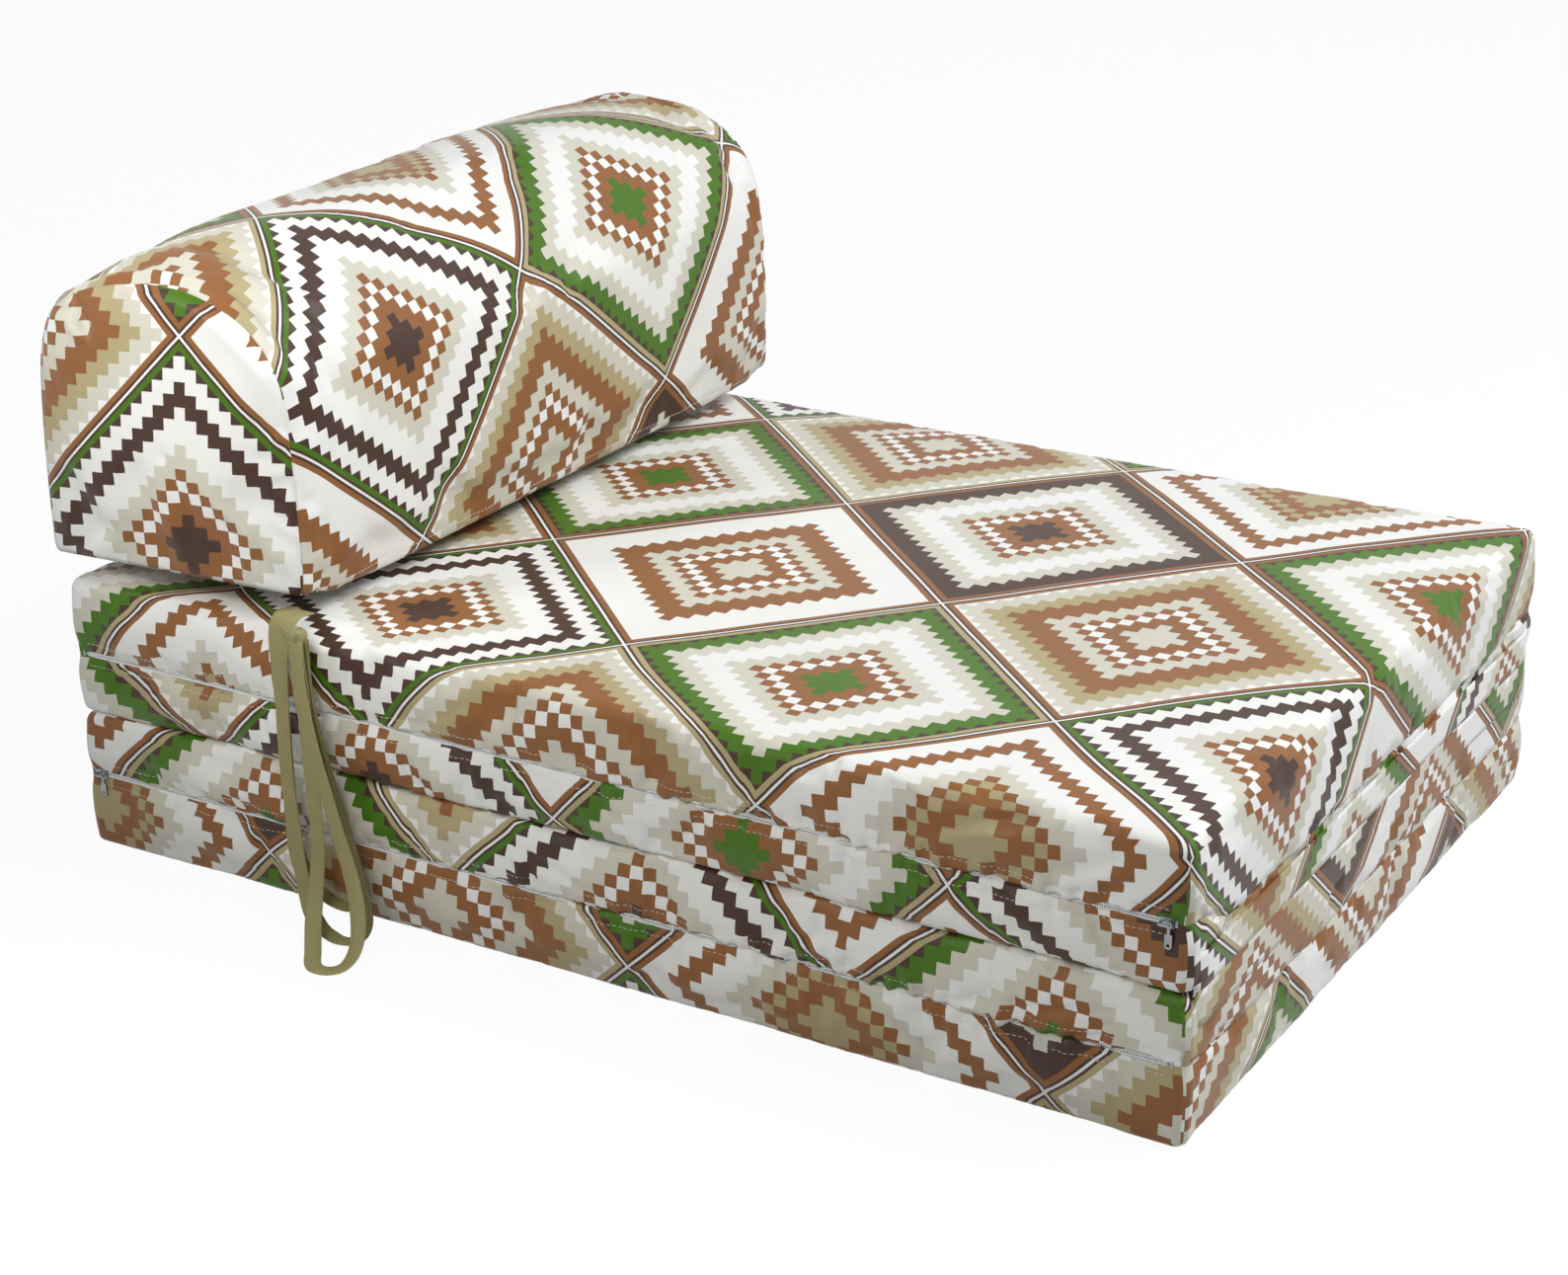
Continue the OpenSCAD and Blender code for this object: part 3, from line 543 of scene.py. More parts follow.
def settled(bm, held, pressure, slack, cap):
    """Lets a coarse cloth billow under pressure between the places where it is held, and
    gives how far each of its points went, as a search tree and a list of moves. held pairs
    each point with how firmly it stays."""
    mesh = bpy.data.meshes.new("settling")
    bm.to_mesh(mesh)
    cloth = bpy.data.objects.new("settling", mesh)
    bpy.context.scene.collection.objects.link(cloth)
    pins = cloth.vertex_groups.new(name="held")
    for index, firmness in enumerate(held):
        pins.add([index], firmness, "REPLACE")
    settling = cloth.modifiers.new("settling", "CLOTH")
    settings = settling.settings
    settings.quality = 6
    settings.mass = 0.25
    settings.tension_stiffness = 12
    settings.compression_stiffness = 12
    settings.shear_stiffness = 4
    settings.bending_stiffness = 0.6
    settings.vertex_group_mass = "held"
    settings.shrink_min = -slack
    settings.use_pressure = True
    settings.uniform_pressure_force = pressure
    settings.effector_weights.gravity = 0
    settling.collision_settings.use_collision = False
    settling.point_cache.frame_start = 1
    settling.point_cache.frame_end = 20
    scene = bpy.context.scene
    for step in range(1, 21):
        scene.frame_set(step)
        settled_mesh = cloth.evaluated_get(bpy.context.evaluated_depsgraph_get()).data
    tree = KDTree(len(mesh.vertices))
    moves = []
    for vert, end in zip(mesh.vertices, settled_mesh.vertices):
        tree.insert(vert.co, vert.index)
        move = end.co - vert.co
        moves.append(move * min(1.0, cap / max(move.length, 1e-6)))
    tree.balance()
    scene.frame_set(1)
    bpy.data.objects.remove(cloth)
    bpy.data.meshes.remove(mesh)
    bm.free()
    return tree, moves


def carried(tree, moves, place):
    """The move of a fine point, from those of the coarse points about it."""
    total, weights = Vector(), 0.0
    for _, index, distance in tree.find_n(place, 5):
        weight = 1 / (distance + 1 * MM) ** 2
        total += moves[index] * weight
        weights += weight
    return total / weights


def fold_depth(x, z, folds):
    """How far the pressed folds push the cloth in or out at a place on the near side."""
    push = 0.0
    for x0, z0, x1, z1, width, depth in folds:
        ax, az = x1 - x0, z1 - z0
        along = ((x - x0) * ax + (z - z0) * az) / (ax * ax + az * az)
        if -0.25 < along < 1.25:
            off = ((x - x0) * az - (z - z0) * ax) / math.hypot(ax, az)
            if abs(off) < 4 * width:
                fade = smooth((along + 0.25) / 0.4) * smooth((1.25 - along) / 0.4)
                push += fade * depth * (0.6 * math.exp(-((off - 1.5 * width) / width) ** 2)
                                        - math.exp(-(off / width) ** 2))
    return push


def cover_half(half, material):
    """Makes a cover half: shaped, billowed, ruffled along its seams, printed and thick."""
    tree, moves = None, None
    bm, (u_layer, v_layer, row_layer, run_layer) = cover_cloth(half, 90, 62)
    held = []
    for vert in bm.verts:
        row = vert[row_layer]
        if row < 0.5:
            depth = min(half_l - abs(vert.co.x), half_w - abs(vert.co.y)) - half.panel_inset
            held.append(mixed(0.25, 1.0, smooth(depth / (30 * MM))))
        else:
            held.append(1.0 if row >= BAND_ROWS else 0.0)
    tree, moves = settled(bm, held, 1.2, 0.012, 3.5 * MM)
    bm, layers = cover_cloth(half, 290, 110)
    u_layer, v_layer, row_layer, run_layer = layers
    lay_print(bm, half, layers)
    places = []
    for vert in bm.verts:
        place = vert.co.copy()
        row = vert[row_layer]
        if tree and row < BAND_ROWS:
            move = carried(tree, moves, place)
            if row < 0.5:
                move *= 0.4
            from_corner = max(half_l - abs(place.x), half_w - abs(place.y))
            room = pull_room(place, half) * mixed(0.25, 1.0, smooth(from_corner / (25 * MM)))
            place += move * room * (0.25 if half.panel_z < MM and row <= ARC_ROWS + 2 else 1.0)
        if row > 0.5:
            place += vert.normal * side_wave(vert, half, layers)
        elif half.crown:
            place.z += seat_wave(place)
        if vert[v_layer] < -0.999 and row <= BAND_ROWS and abs(place.z - half.seam_z) < 18 * MM:
            place.y = min(place.y, -half_w + zip_room)
        # the front and the rear meet the next piece when the bed is unfolded
        place.x = min(max(place.x, -half_l + 0.5 * MM), half_l - 0.5 * MM)
        flat = half.panel_z + (half.up * 1.5 * MM if half.crown else 0.0)
        if half.up > 0:
            place.z = min(place.z, flat)
        else:
            place.z = max(place.z, flat)
        places.append(place)
    for vert, place in zip(bm.verts, places):
        vert.co = place
    node = half.name
    piece = finish_piece(bm, node + "_cloth", material, half.body, [node])
    thicken(piece, cover_t)
    return piece


def pull_room(place, half):
    """Holds the cloth back beside the zip pulls, and where they come to at the zip's other end,
    so that they hang free of it."""
    if place.y > -half_w + 20 * MM:
        return 1.0
    pull_x = 0.433 if half.body == "upper_block" else -0.425
    at_rest = smooth((abs(place.x - pull_x) - 14 * MM) / (30 * MM))
    at_end = smooth((abs(place.x + pull_x) - 14 * MM) / (16 * MM))
    return min(at_rest, at_end)


def side_wave(vert, half, layers):
    """Ruffles beside the zip, creases near the corners and an uneven sag on every side."""
    u_layer, v_layer, row_layer, run_layer = layers
    x, y, z = vert.co
    seed = half.seed
    from_seam = abs(z - half.seam_z + seam_drop(vert[u_layer], vert[v_layer], half.drop))
    wave = noise.noise(Vector((x * 9 + seed, y * 9, z * 14))) * 1.2
    if vert[v_layer] < -0.999:
        strength = mixed(0.6, 1.7, smooth(x / 0.45 + 0.4))
        close = math.exp(-((from_seam - 3 * MM) / (15 * MM)) ** 2)
        fine = noise.noise(Vector((x * 110 + seed * 3, z * 14, seed)))
        wide = noise.noise(Vector((x * 36 - half.up * z * 30, z * 12, seed + 5)))
        wave += close * strength * (fine * 3.2 + wide * 2.0 + 1.0)
        wave += 1.4 * fold_depth(x / MM, z / MM, NEAR_FOLDS)
        wave *= pull_room(vert.co, half)
    else:
        close = math.exp(-(from_seam / (12 * MM)) ** 2)
        along = y if abs(vert[u_layer]) > 0.999 else x
        fine = noise.noise(Vector((along * 80 + seed * 7, z * 10, seed + 9)))
        wide = noise.noise(Vector((along * 24, z * 22 + along * 8, seed + 12)))
        corner = math.exp(-(half_w - abs(y)) / (50 * MM)) if abs(vert[u_layer]) > 0.999 else 0.3
        wave += close * fine * 1.3 + wide * (0.8 + 1.6 * corner)
    return wave * MM


def seat_wave(place):
    """The seat's soft unevenness: a broad and a finer layer of noise."""
    wave = noise.noise(Vector((place.x * 7, place.y * 7, 2))) * 1.0
    wave += noise.noise(Vector((place.x * 22, place.y * 16, 6))) * 0.5
    return wave * MM


def pulled_seat(x, y, flap, turned):
    """Where on the flat print a place on the seat's cloth reads. The cloth is pulled up over
    the near edge and round the near front corner. turned is how far a flap is past the edge."""
    up_front = max(0.0, (x - 0.30) / (seat_inner_x - 0.30))
    up_near = max(0.0, (-y - 0.18) / (seat_inner_y - 0.18))
    if flap == "front":
        up_front = max(1.0, up_front)
    if flap == "near":
        up_near = max(1.0, up_near)
    share = up_front ** 2 / max(up_front ** 2 + up_near ** 2, 1e-6)
    if flap == "front":
        share = mixed(1 / (1 + min(up_near, 1.0) ** 2), 1.0, turned)
    elif flap == "near":
        share = mixed(min(up_front, 1.0) ** 2 / (min(up_front, 1.0) ** 2 + 1), 0.0, turned)
    share *= smooth((x - 0.30) / 0.13)
    near_pull = 16 * MM * smooth((-0.240 - y) / 0.081)
    front_pull = 29 * MM * (max(0.0, -0.022 - max(y, -0.313)) / 0.291) ** 1.6
    beside = smooth((-0.23 - x) / 0.09) * smooth((-0.2 - y) / 0.08)
    near_pull -= 22 * MM * beside
    x -= 12 * MM * beside
    round_corner = 12 * MM * (1 - share) * smooth((x - 0.33) / 0.12) * smooth((-0.24 - y) / 0.081)
    return x + round_corner, y - mixed(near_pull, front_pull, share)


def lay_print(bm, half, layers):
    """Writes the print's s and t on every corner of every face."""
    u_layer, v_layer, row_layer, run_layer = layers
    uv_layer = bm.loops.layers.uv.new("print")
    up, panel_z, laid = half.up, half.panel_z, half.laid
    full_run = half.edge_r * math.pi / 2
    arc_saved = full_run - half.edge_r
    inner_x, inner_y = half_l - half.panel_inset, half_w - half.panel_inset
    for face in bm.faces:
        rows = [vert[row_layer] for vert in face.verts]
        us = [vert[u_layer] for vert in face.verts]
        vs = [vert[v_layer] for vert in face.verts]
        flap = "panel"
        if max(rows) > 0.5:
            flap = ("near" if max(vs) < -0.999 else "far" if min(vs) > 0.999
                    else "front" if min(us) > 0.999 else "rear")
        for loop in face.loops:
            vert = loop.vert
            run = vert[run_layer]
            turned = min(run / full_run, 1.0)
            x, y = vert[u_layer] * inner_x, vert[v_layer] * inner_y
            if flap in ("near", "far"):
                x = vert[u_layer] * mixed(inner_x, half_l, turned)
            if flap in ("front", "rear"):
                y = vert[v_layer] * mixed(inner_y, half_w, turned)
            if "seat" in laid:
                cloth_run = run + seat_spare * turned
                if flap == "near":
                    y = -inner_y - cloth_run
                elif flap == "far":
                    y = inner_y + cloth_run
                elif flap == "front":
                    x = inner_x + cloth_run
                elif flap == "rear":
                    x = -inner_x - cloth_run
                loop[uv_layer].uv = laid["seat"].at(*pulled_seat(x, y, flap, turned))
                continue
            z = panel_z - up * (run - arc_saved)
            if flap == "front":
                loop[uv_layer].uv = laid["front"].at(y, z)
            elif flap == "near":
                drawn = 0
                if half.name == "lower_cover_top":
                    drawn = 9 * MM * smooth((x - 0.3) / 0.14)
                elif half.name == "upper_cover_base":
                    drawn = 22 * MM * smooth((-0.355 - x) / 0.065)
                loop[uv_layer].uv = laid["near"].at(x + drawn, z)
            elif flap == "panel":
                loop[uv_layer].uv = laid["near"].at(x, panel_z + up * (y + inner_y + arc_saved))
            elif flap == "far":
                loop[uv_layer].uv = laid["near"].at(x, panel_z + up * (2 * inner_y + arc_saved + run))
            else:
                loop[uv_layer].uv = laid["near"].at(-inner_x - run, panel_z + up * (y + inner_y))


# Bolster

# Side view from the rear foot over the top to the front foot: shares of depth and height
BOLSTER_SHARES = [
    (0.02, 0), (0.004, 0.02), (0, 0.1), (0, 0.35), (0.01, 0.59), (0.03, 0.73), (0.077, 0.845),
    (0.153, 0.91), (0.268, 0.957), (0.396, 0.985), (0.536, 1), (0.685, 0.985), (0.821, 0.932),
    (0.911, 0.86), (0.966, 0.768), (0.991, 0.648), (1, 0.43), (1, 0.19), (0.997, 0.06),
    (0.985, 0.015), (0.965, 0),
]
# Stations along it: share of the half width, height share, draw-in, foot lift
STATION_SHARES = [
    (-1, 0.93, 0.03, 0.05), (-0.965, 0.95, 0.015, 0.035), (-0.86, 0.975, 0.005, 0.01),
    (-0.6, 0.995, 0, 0), (0, 1, 0, 0), (0.6, 0.997, 0, 0), (0.9, 0.992, 0.004, 0.01),
    (0.97, 0.984, 0.012, 0.03), (1, 0.975, 0.025, 0.04),
]
bolster_rear = wrap_lo.x
bolster_d = wrap_hi.x - wrap_lo.x
bolster_h = wrap_hi.z - bolster_z
bolster_half = wrap_hi.y
BASE_CELLS = 22


def station(share):
    """Height share, draw-in and foot lift at a place along the bolster."""
    for (a, *left), (b, *right) in zip(STATION_SHARES, STATION_SHARES[1:]):
        if share <= b:
            w = smooth((share - a) / (b - a))
            return [mixed(p, q, w) for p, q in zip(left, right)]
    return list(STATION_SHARES[-1][1:])


def bolster_place(depth_share, height_share, y_share):
    """A point of the bolster's skin."""
    height, draw, lift = station(y_share)
    if y_share < 0:
        lift *= mixed(0.4, 1.0, smooth((depth_share - 0.72) / 0.12))
    x = bolster_rear + bolster_d * (0.5 + (depth_share - 0.5) * (1 - draw * height_share))
    z = bolster_z + bolster_h * (lift + (height - lift) * height_share)
    return Vector((x, y_share * bolster_half, z))


def side_path(cells):
    """The bolster's side view as evenly spaced pairs of depth and height shares, and its length."""
    path, length = evenly([(d * bolster_d, h * bolster_h, 0) for d, h in BOLSTER_SHARES], cells)
    return [(p.x / bolster_d, max(p.y, 0) / bolster_h) for p in path], length


def ring_round(cells, y_share):
    """The bolster's closed outline at one place along it."""
    path, _ = side_path(cells)
    ring = [bolster_place(*p, y_share) for p in path]
    return ring + [ring[-1].lerp(ring[0], k / BASE_CELLS) for k in range(1, BASE_CELLS)]


def wrap_cloth(outline_cells, width_cells):
    """The cloth round the bolster's rear, top and front, with its print."""
    path, length = side_path(outline_cells)
    bm = bmesh.new()
    bmesh.ops.create_grid(bm, x_segments=outline_cells, y_segments=width_cells, size=1)
    uv_layer = bm.loops.layers.uv.new("print")
    for face in bm.faces:
        for loop in face.loops:
            k, y_share = (loop.vert.co.x + 1) / 2, loop.vert.co.y
            loop[uv_layer].uv = WRAP_PRINT.at(y_share * bolster_half, bolster_z + (1 - k) * length)
    for vert in bm.verts:
        k = round((vert.co.x + 1) / 2 * outline_cells)
        vert.co = bolster_place(*path[k], vert.co.y)
    bmesh.ops.recalc_face_normals(bm, faces=bm.faces)
    bm.normal_update()
    if sum(f.normal.z for f in bm.faces if f.calc_center_median().z > bolster_z + 0.2) < 0:
        bmesh.ops.reverse_faces(bm, faces=bm.faces)
    bm.normal_update()
    return bm


def end_cloth(side, outline_cells, levels):
    """An end panel: domed a little, from its seam to its middle, with its print."""
    rim = ring_round(outline_cells, side)
    centre = sum(rim, Vector()) / len(rim)
    bm = bmesh.new()
    bmesh.ops.create_circle(bm, segments=len(rim), radius=1)
    for vert, place in zip(list(bm.verts), rim):
        vert.co = place
    edges, before = list(bm.edges), 1.0
    for k in range(1, levels):
        share = 1 - k / levels
        rise = end_rim * smooth(k / 2) + (end_dome - end_rim) * (1 - share ** 2.6) ** 0.8
        grown = bmesh.ops.extrude_edge_only(bm, edges=edges)["geom"]
        edges = [g for g in grown if isinstance(g, bmesh.types.BMEdge)
                 and all(v in grown for v in g.verts)]
        for vert in [g for g in grown if isinstance(g, bmesh.types.BMVert)]:
            flat = (vert.co - centre) * share / before
            vert.co = (centre.x + flat.x, side * (bolster_half + rise), centre.z + flat.z)
        before = share
    bmesh.ops.contextual_create(bm, geom=edges)
    bmesh.ops.recalc_face_normals(bm, faces=bm.faces)
    bm.normal_update()
    if sum(f.normal.y * side for f in bm.faces) < 0:
        bmesh.ops.reverse_faces(bm, faces=bm.faces)
    bm.normal_update()
    uv_layer = bm.loops.layers.uv.new("print")
    for face in bm.faces:
        for loop in face.loops:
            loop[uv_layer].uv = END_PRINT.at(loop.vert.co.x, loop.vert.co.z)
    return bm


# Folds of the near end panel: the ends of each in x and z, its width and its depth
END_FOLDS = [
    (-281, 441, -225, 400, 7, 3.0), (-420, 438, -395, 405, 6, 3.2), (-436, 424, -402, 412, 5, 2.4),
    (-216, 330, -240, 318, 4, 1.4), (-215, 300, -238, 292, 4, 1.6), (-214, 352, -236, 345, 4, 1.2),
    (-440, 236, -400, 262, 7, 2.2), (-232, 240, -262, 262, 8, 1.6),
]


def bolster_pieces(material):
    """The bolster's cloth: wrap, both end panels and underside."""
    tree, moves = None, None
    bm = wrap_cloth(70, 60)
    held = [1.0 if v.is_boundary else 0.0 for v in bm.verts]
    tree, moves = settled(bm, held, 1.0, 0.015, 6 * MM)
    bm = wrap_cloth(170, 190)
    places = []
    for vert in bm.verts:
        y_share = vert.co.y / bolster_half
        from_end = (1 - abs(y_share)) * bolster_half
        low = vert.co.z - bolster_z
        place = vert.co.copy()
        if tree:
            room = mixed(0.15, 1.0, smooth(low / (40 * MM)))
            place += carried(tree, moves, place) * room * smooth(from_end / (6 * MM))
        wave = noise.noise(Vector((place.x * 5, place.y * 6, place.z * 7 + 3))) * 2.4
        wave *= smooth(from_end / (25 * MM)) * smooth(low / (30 * MM))
        close = math.exp(-from_end / (15 * MM)) * smooth(from_end / (4 * MM))
        wave += noise.noise(Vector((place.x * 62, y_share * 3, place.z * 62))) * 3.0 * close
        foot = math.exp(-((low - 4 * MM) / (14 * MM)) ** 2) * smooth(low / (4 * MM))
        wave += noise.noise(Vector((place.y * 60, place.z * 12, 4))) * 1.3 * foot
        # the stitched line that closes the front of the underside
        if vert.co.x > bolster_rear + bolster_d / 2:
            wave -= 0.9 * math.exp(-((low - 9 * MM) / (1.6 * MM)) ** 2)
        place += vert.normal * wave * MM
        # low on the rear it meets the block's end when it has become the pillow
        bulge = smooth((low - 112 * MM) / (30 * MM)) * 8 * MM
        place.x = max(place.x, bolster_rear + 1.5 * MM - bulge)
        places.append(place)
    for vert, place in zip(bm.verts, places):
        vert.co = place
    wrap = finish_piece(bm, "bolster_wrap_cloth", material, "bolster", ["bolster_wrap"])
    thicken(wrap, cover_t)

    for side, name in ((-1, "near"), (1, "far")):
        tree, moves = None, None
        bm = end_cloth(side, 70, 12)
        held = [1.0 if v.is_boundary else 0.0 for v in bm.verts]
        tree, moves = settled(bm, held, 0.8, 0.02, 5 * MM)
        bm = end_cloth(side, 170, 30)
        places = []
        for vert in bm.verts:
            place = vert.co.copy()
            rise = max(abs(vert.co.y) - bolster_half, 0) / end_dome
            if tree:
                place += carried(tree, moves, place) * smooth(rise * 3)
            wave = noise.noise(vert.co * 12 + Vector((side * 4, 0, 1))) * 1.6 * smooth(rise * 2)
            wave += noise.noise(vert.co * 70) * 3.0 * math.exp(-rise * 2.5) * smooth(rise * 6)
            if side < 0:
                wave += 1.3 * fold_depth(vert.co.x / MM, vert.co.z / MM, END_FOLDS) * smooth(rise * 4)
            places.append(place + Vector((0, side * wave * MM, 0)))
        for vert, place in zip(bm.verts, places):
            vert.co = place
        end = finish_piece(bm, "bolster_end_%s_cloth" % name, material, "bolster",
                           ["bolster_end_" + name])
        thicken(end, cover_t)

    bm = bmesh.new()
    bmesh.ops.create_grid(bm, x_segments=40, y_segments=190, size=1)
    uv_layer = bm.loops.layers.uv.new("print")
    path, _ = side_path(170)
    for vert in bm.verts:
        k, share = (vert.co.x + 1) / 2, vert.co.y
        place = bolster_place(*path[0], share).lerp(bolster_place(*path[-1], share), k)
        ripple = noise.noise(Vector((place.x * 20, place.y * 14, 8))) * 0.5 + 0.5
        place.z += ripple * MM * (1 - (2 * k - 1) ** 2) * (1 - share ** 2)
        vert.co = place
    for face in bm.faces:
        for loop in face.loops:
            loop[uv_layer].uv = WRAP_PRINT.at(loop.vert.co.y, loop.vert.co.x)
    bm.normal_update()
    for face in bm.faces:
        if face.normal.z > 0:
            face.normal_flip()
    base = finish_piece(bm, "bolster_underside_cloth", material, "bolster",
                        ["bolster_base_panel"])
    thicken(base, cover_t)
    return wrap


# Foam


def foam_piece(node, body, material, top, low, ease, crown):
    """A cut foam block inside its cover: eased edges, and its top crowned as the cover is."""
    bm = bmesh.new()
    bmesh.ops.create_cube(bm, size=2)
    bmesh.ops.subdivide_edges(bm, edges=list(bm.edges), cuts=23, use_grid_fill=True)
    half = Vector((half_l - 12 * MM, half_w - 12 * MM, (top - low) / 2))
    inner = half - Vector((ease, ease, ease))
    for vert in bm.verts:
        place = Vector([c * h for c, h in zip(vert.co, half)])
        core = Vector([min(max(c, -h), h) for c, h in zip(place, inner)])
        if (place - core).length > 0:
            place = core + (place - core).normalized() * ease
        depth = min(half.x - abs(place.x), half.y - abs(place.y))
        fall = crown * max(0.0, 1 - depth / (95 * MM)) ** 2 * smooth(vert.co.z)
        vert.co = place + Vector((0, 0, (top + low) / 2 - fall))
    piece = finish_piece(bm, node + "_block", material, body, [node])
    return piece


def bolster_foam(material):
    """The bolster's foam core, cut to its side view, a little inside the cloth."""
    bm = bmesh.new()
    rings = [(share, [p for p in ring_round(60, share)]) for share in
             [k / 6 * 0.965 for k in range(-6, 7)]]
    made = bmesh.ops.create_circle(bm, segments=len(rings[0][1]), radius=1)["verts"]
    front = list(made)
    edges = list(bm.edges)
    for number, (share, ring) in enumerate(rings):
        if number:
            grown = bmesh.ops.extrude_edge_only(bm, edges=edges)["geom"]
            edges = [g for g in grown if isinstance(g, bmesh.types.BMEdge)
                     and all(v in grown for v in g.verts)]
            fresh = [g for g in grown if isinstance(g, bmesh.types.BMVert)]
            front = [min(fresh, key=lambda v, old=old: (v.co - old.co).length) for old in front]
        centre = sum(ring, Vector()) / len(ring)
        for vert, place in zip(front, ring):
            off = place - centre
            vert.co = centre + off * max(0.0, 1 - 9 * MM / off.length)
        if number in (0, len(rings) - 1):
            bmesh.ops.contextual_create(bm, geom=edges)
    bmesh.ops.recalc_face_normals(bm, faces=bm.faces)
    piece = finish_piece(bm, "bolster_foam_core", material, "bolster", ["bolster_foam"], False)


# Zips


def zip_pieces(level, body, zip_z, tape_cloth, nylon, metal):
    """One zip: its coil with real turns, tapes, stops, slider and pull."""
    pitch = 1.6 * MM
    for half in (-1, 1):
        bm = bmesh.new()
        bmesh.ops.create_cone(bm, segments=6, radius1=0.72 * MM, radius2=0.72 * MM, depth=1.9 * MM,
                              cap_ends=True)
        bmesh.ops.rotate(bm, verts=bm.verts, matrix=Matrix.Rotation(math.radians(12 * half), 3, "Y"))
        bmesh.ops.translate(bm, verts=bm.verts, vec=(-zip_half_l + 2.6 * MM, coil_front_y + 0.7 * MM,
                                                     zip_z + half * 1.2 * MM))
        name = "%s_zip_coil_%s" % (level, "top" if half > 0 else "base")
        turns = finish_piece(bm, name, nylon, body,
                             [level + "_zip_coil"] if half > 0 else [])
        row = turns.modifiers.new("turns", "ARRAY")
        row.use_relative_offset = False
        row.use_constant_offset = True
        row.constant_offset_displace = (pitch, 0, 0)
        row.count = int((2 * zip_half_l - 5.2 * MM) / pitch)
    for half in ("base", "top"):
        node = "%s_zip_tape_%s" % (level, half)
        lo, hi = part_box(node)
        bm = bmesh.new()
        bmesh.ops.create_grid(bm, x_segments=150, y_segments=4, size=1)
        uv_layer = bm.loops.layers.uv.new("run")
        for face in bm.faces:
            for loop in face.loops:
                loop[uv_layer].uv = ((loop.vert.co.x + 1) * zip_half_l,
                                     (loop.vert.co.y + 1) / 2 * (hi.z - lo.z))
        for vert in bm.verts:
            a, b = vert.co.x, vert.co.y
            vert.co = (mixed(lo.x, hi.x, (a + 1) / 2), lo.y, mixed(lo.z, hi.z, (b + 1) / 2))
        piece = finish_piece(bm, node + "_cloth", tape_cloth, body, [node])
        thicken(piece, hi.y - lo.y, 1)
    for part in ("stops", "slider", "pull"):
        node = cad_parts["%s_zip_%s" % (level, part)]
        node.data.materials.clear()
        node.data.materials.append(metal)
        joined = node.modifiers.new("joined", "WELD")
        joined.merge_threshold = 0.00001
        eased = node.modifiers.new("eased", "BEVEL")
        eased.width = 0.12 * MM
        eased.segments = 2
        eased.limit_method = "ANGLE"


def stitch_run(name, cover, body, start, look, reach, thread):
    """A row of lockstitches on a cover, laid on the cloth as it is: the row goes both ways
    from start, square to the direction in which it looks at the cloth."""
    tree = BVHTree.FromObject(cover, bpy.context.evaluated_depsgraph_get())
    run = look.cross(Vector((0, 0, 1)))
    pitch = 4.2 * MM
    bm = bmesh.new()
    for k in range(-int(reach / pitch), int(reach / pitch) + 1):
        spot = start + run * pitch * k
        hits = [tree.ray_cast(spot + run * end * 1.2 * MM, look, 0.12)[0] for end in (-1, 1)]
        if None in hits:
            continue
        made = bmesh.ops.create_cone(bm, segments=5, radius1=0.22 * MM, radius2=0.22 * MM,
                                     depth=2.6 * MM, cap_ends=True)["verts"]
        lie = (hits[1] - hits[0]).to_track_quat("Z", "X").to_matrix()
        bmesh.ops.rotate(bm, verts=made, matrix=lie)
        bmesh.ops.translate(bm, verts=made, vec=(hits[0] + hits[1]) / 2 - look * 0.15 * MM)
    return finish_piece(bm, name, thread, body)


# Cloth strips at the fold and under the bolster


def fold_strip(name, node, body, laid, material):
    """One half of the strip that joins the blocks along the front fold."""
    lo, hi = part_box(node)
    bm = bmesh.new()
    bmesh.ops.create_grid(bm, x_segments=100, y_segments=6, size=1)
    uv_layer = bm.loops.layers.uv.new("print")
    for vert in bm.verts:
        t, w = vert.co.x, (vert.co.y + 1) / 2
        y, z = t * hi.y, mixed(lo.z, hi.z, w)
        tucked = 2.6 * MM * smooth((abs(t) - 0.965) / 0.035)
        vert.co = (hi.x - side_draw * (1 - t * t) - 0.2 * MM - tucked, y, z)
    for face in bm.faces:
        for loop in face.loops:
            loop[uv_layer].uv = laid.at(loop.vert.co.y, loop.vert.co.z)
        if face.normal.x < 0:
            face.normal_flip()
    piece = finish_piece(bm, name, material, body, [node])
    thicken(piece, 0.7 * MM)
    return piece


def hinge_flap(name, node, body, laid, material):
    """One half of the strip that joins the bolster to the rear edge of the seat."""
    lo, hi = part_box(node)
    bm = bmesh.new()
    bmesh.ops.create_grid(bm, x_segments=10, y_segments=80, size=1)
    uv_layer = bm.loops.layers.uv.new("print")
    for vert in bm.verts:
        vert.co = (mixed(lo.x, hi.x, (vert.co.x + 1) / 2), mixed(lo.y, hi.y, (vert.co.y + 1) / 2), lo.z)
    for face in bm.faces:
        for loop in face.loops:
            loop[uv_layer].uv = laid.at(loop.vert.co.x, loop.vert.co.y)
    piece = finish_piece(bm, name, material, body, [node])
    thicken(piece, hi.z - lo.z, 1)
    return piece


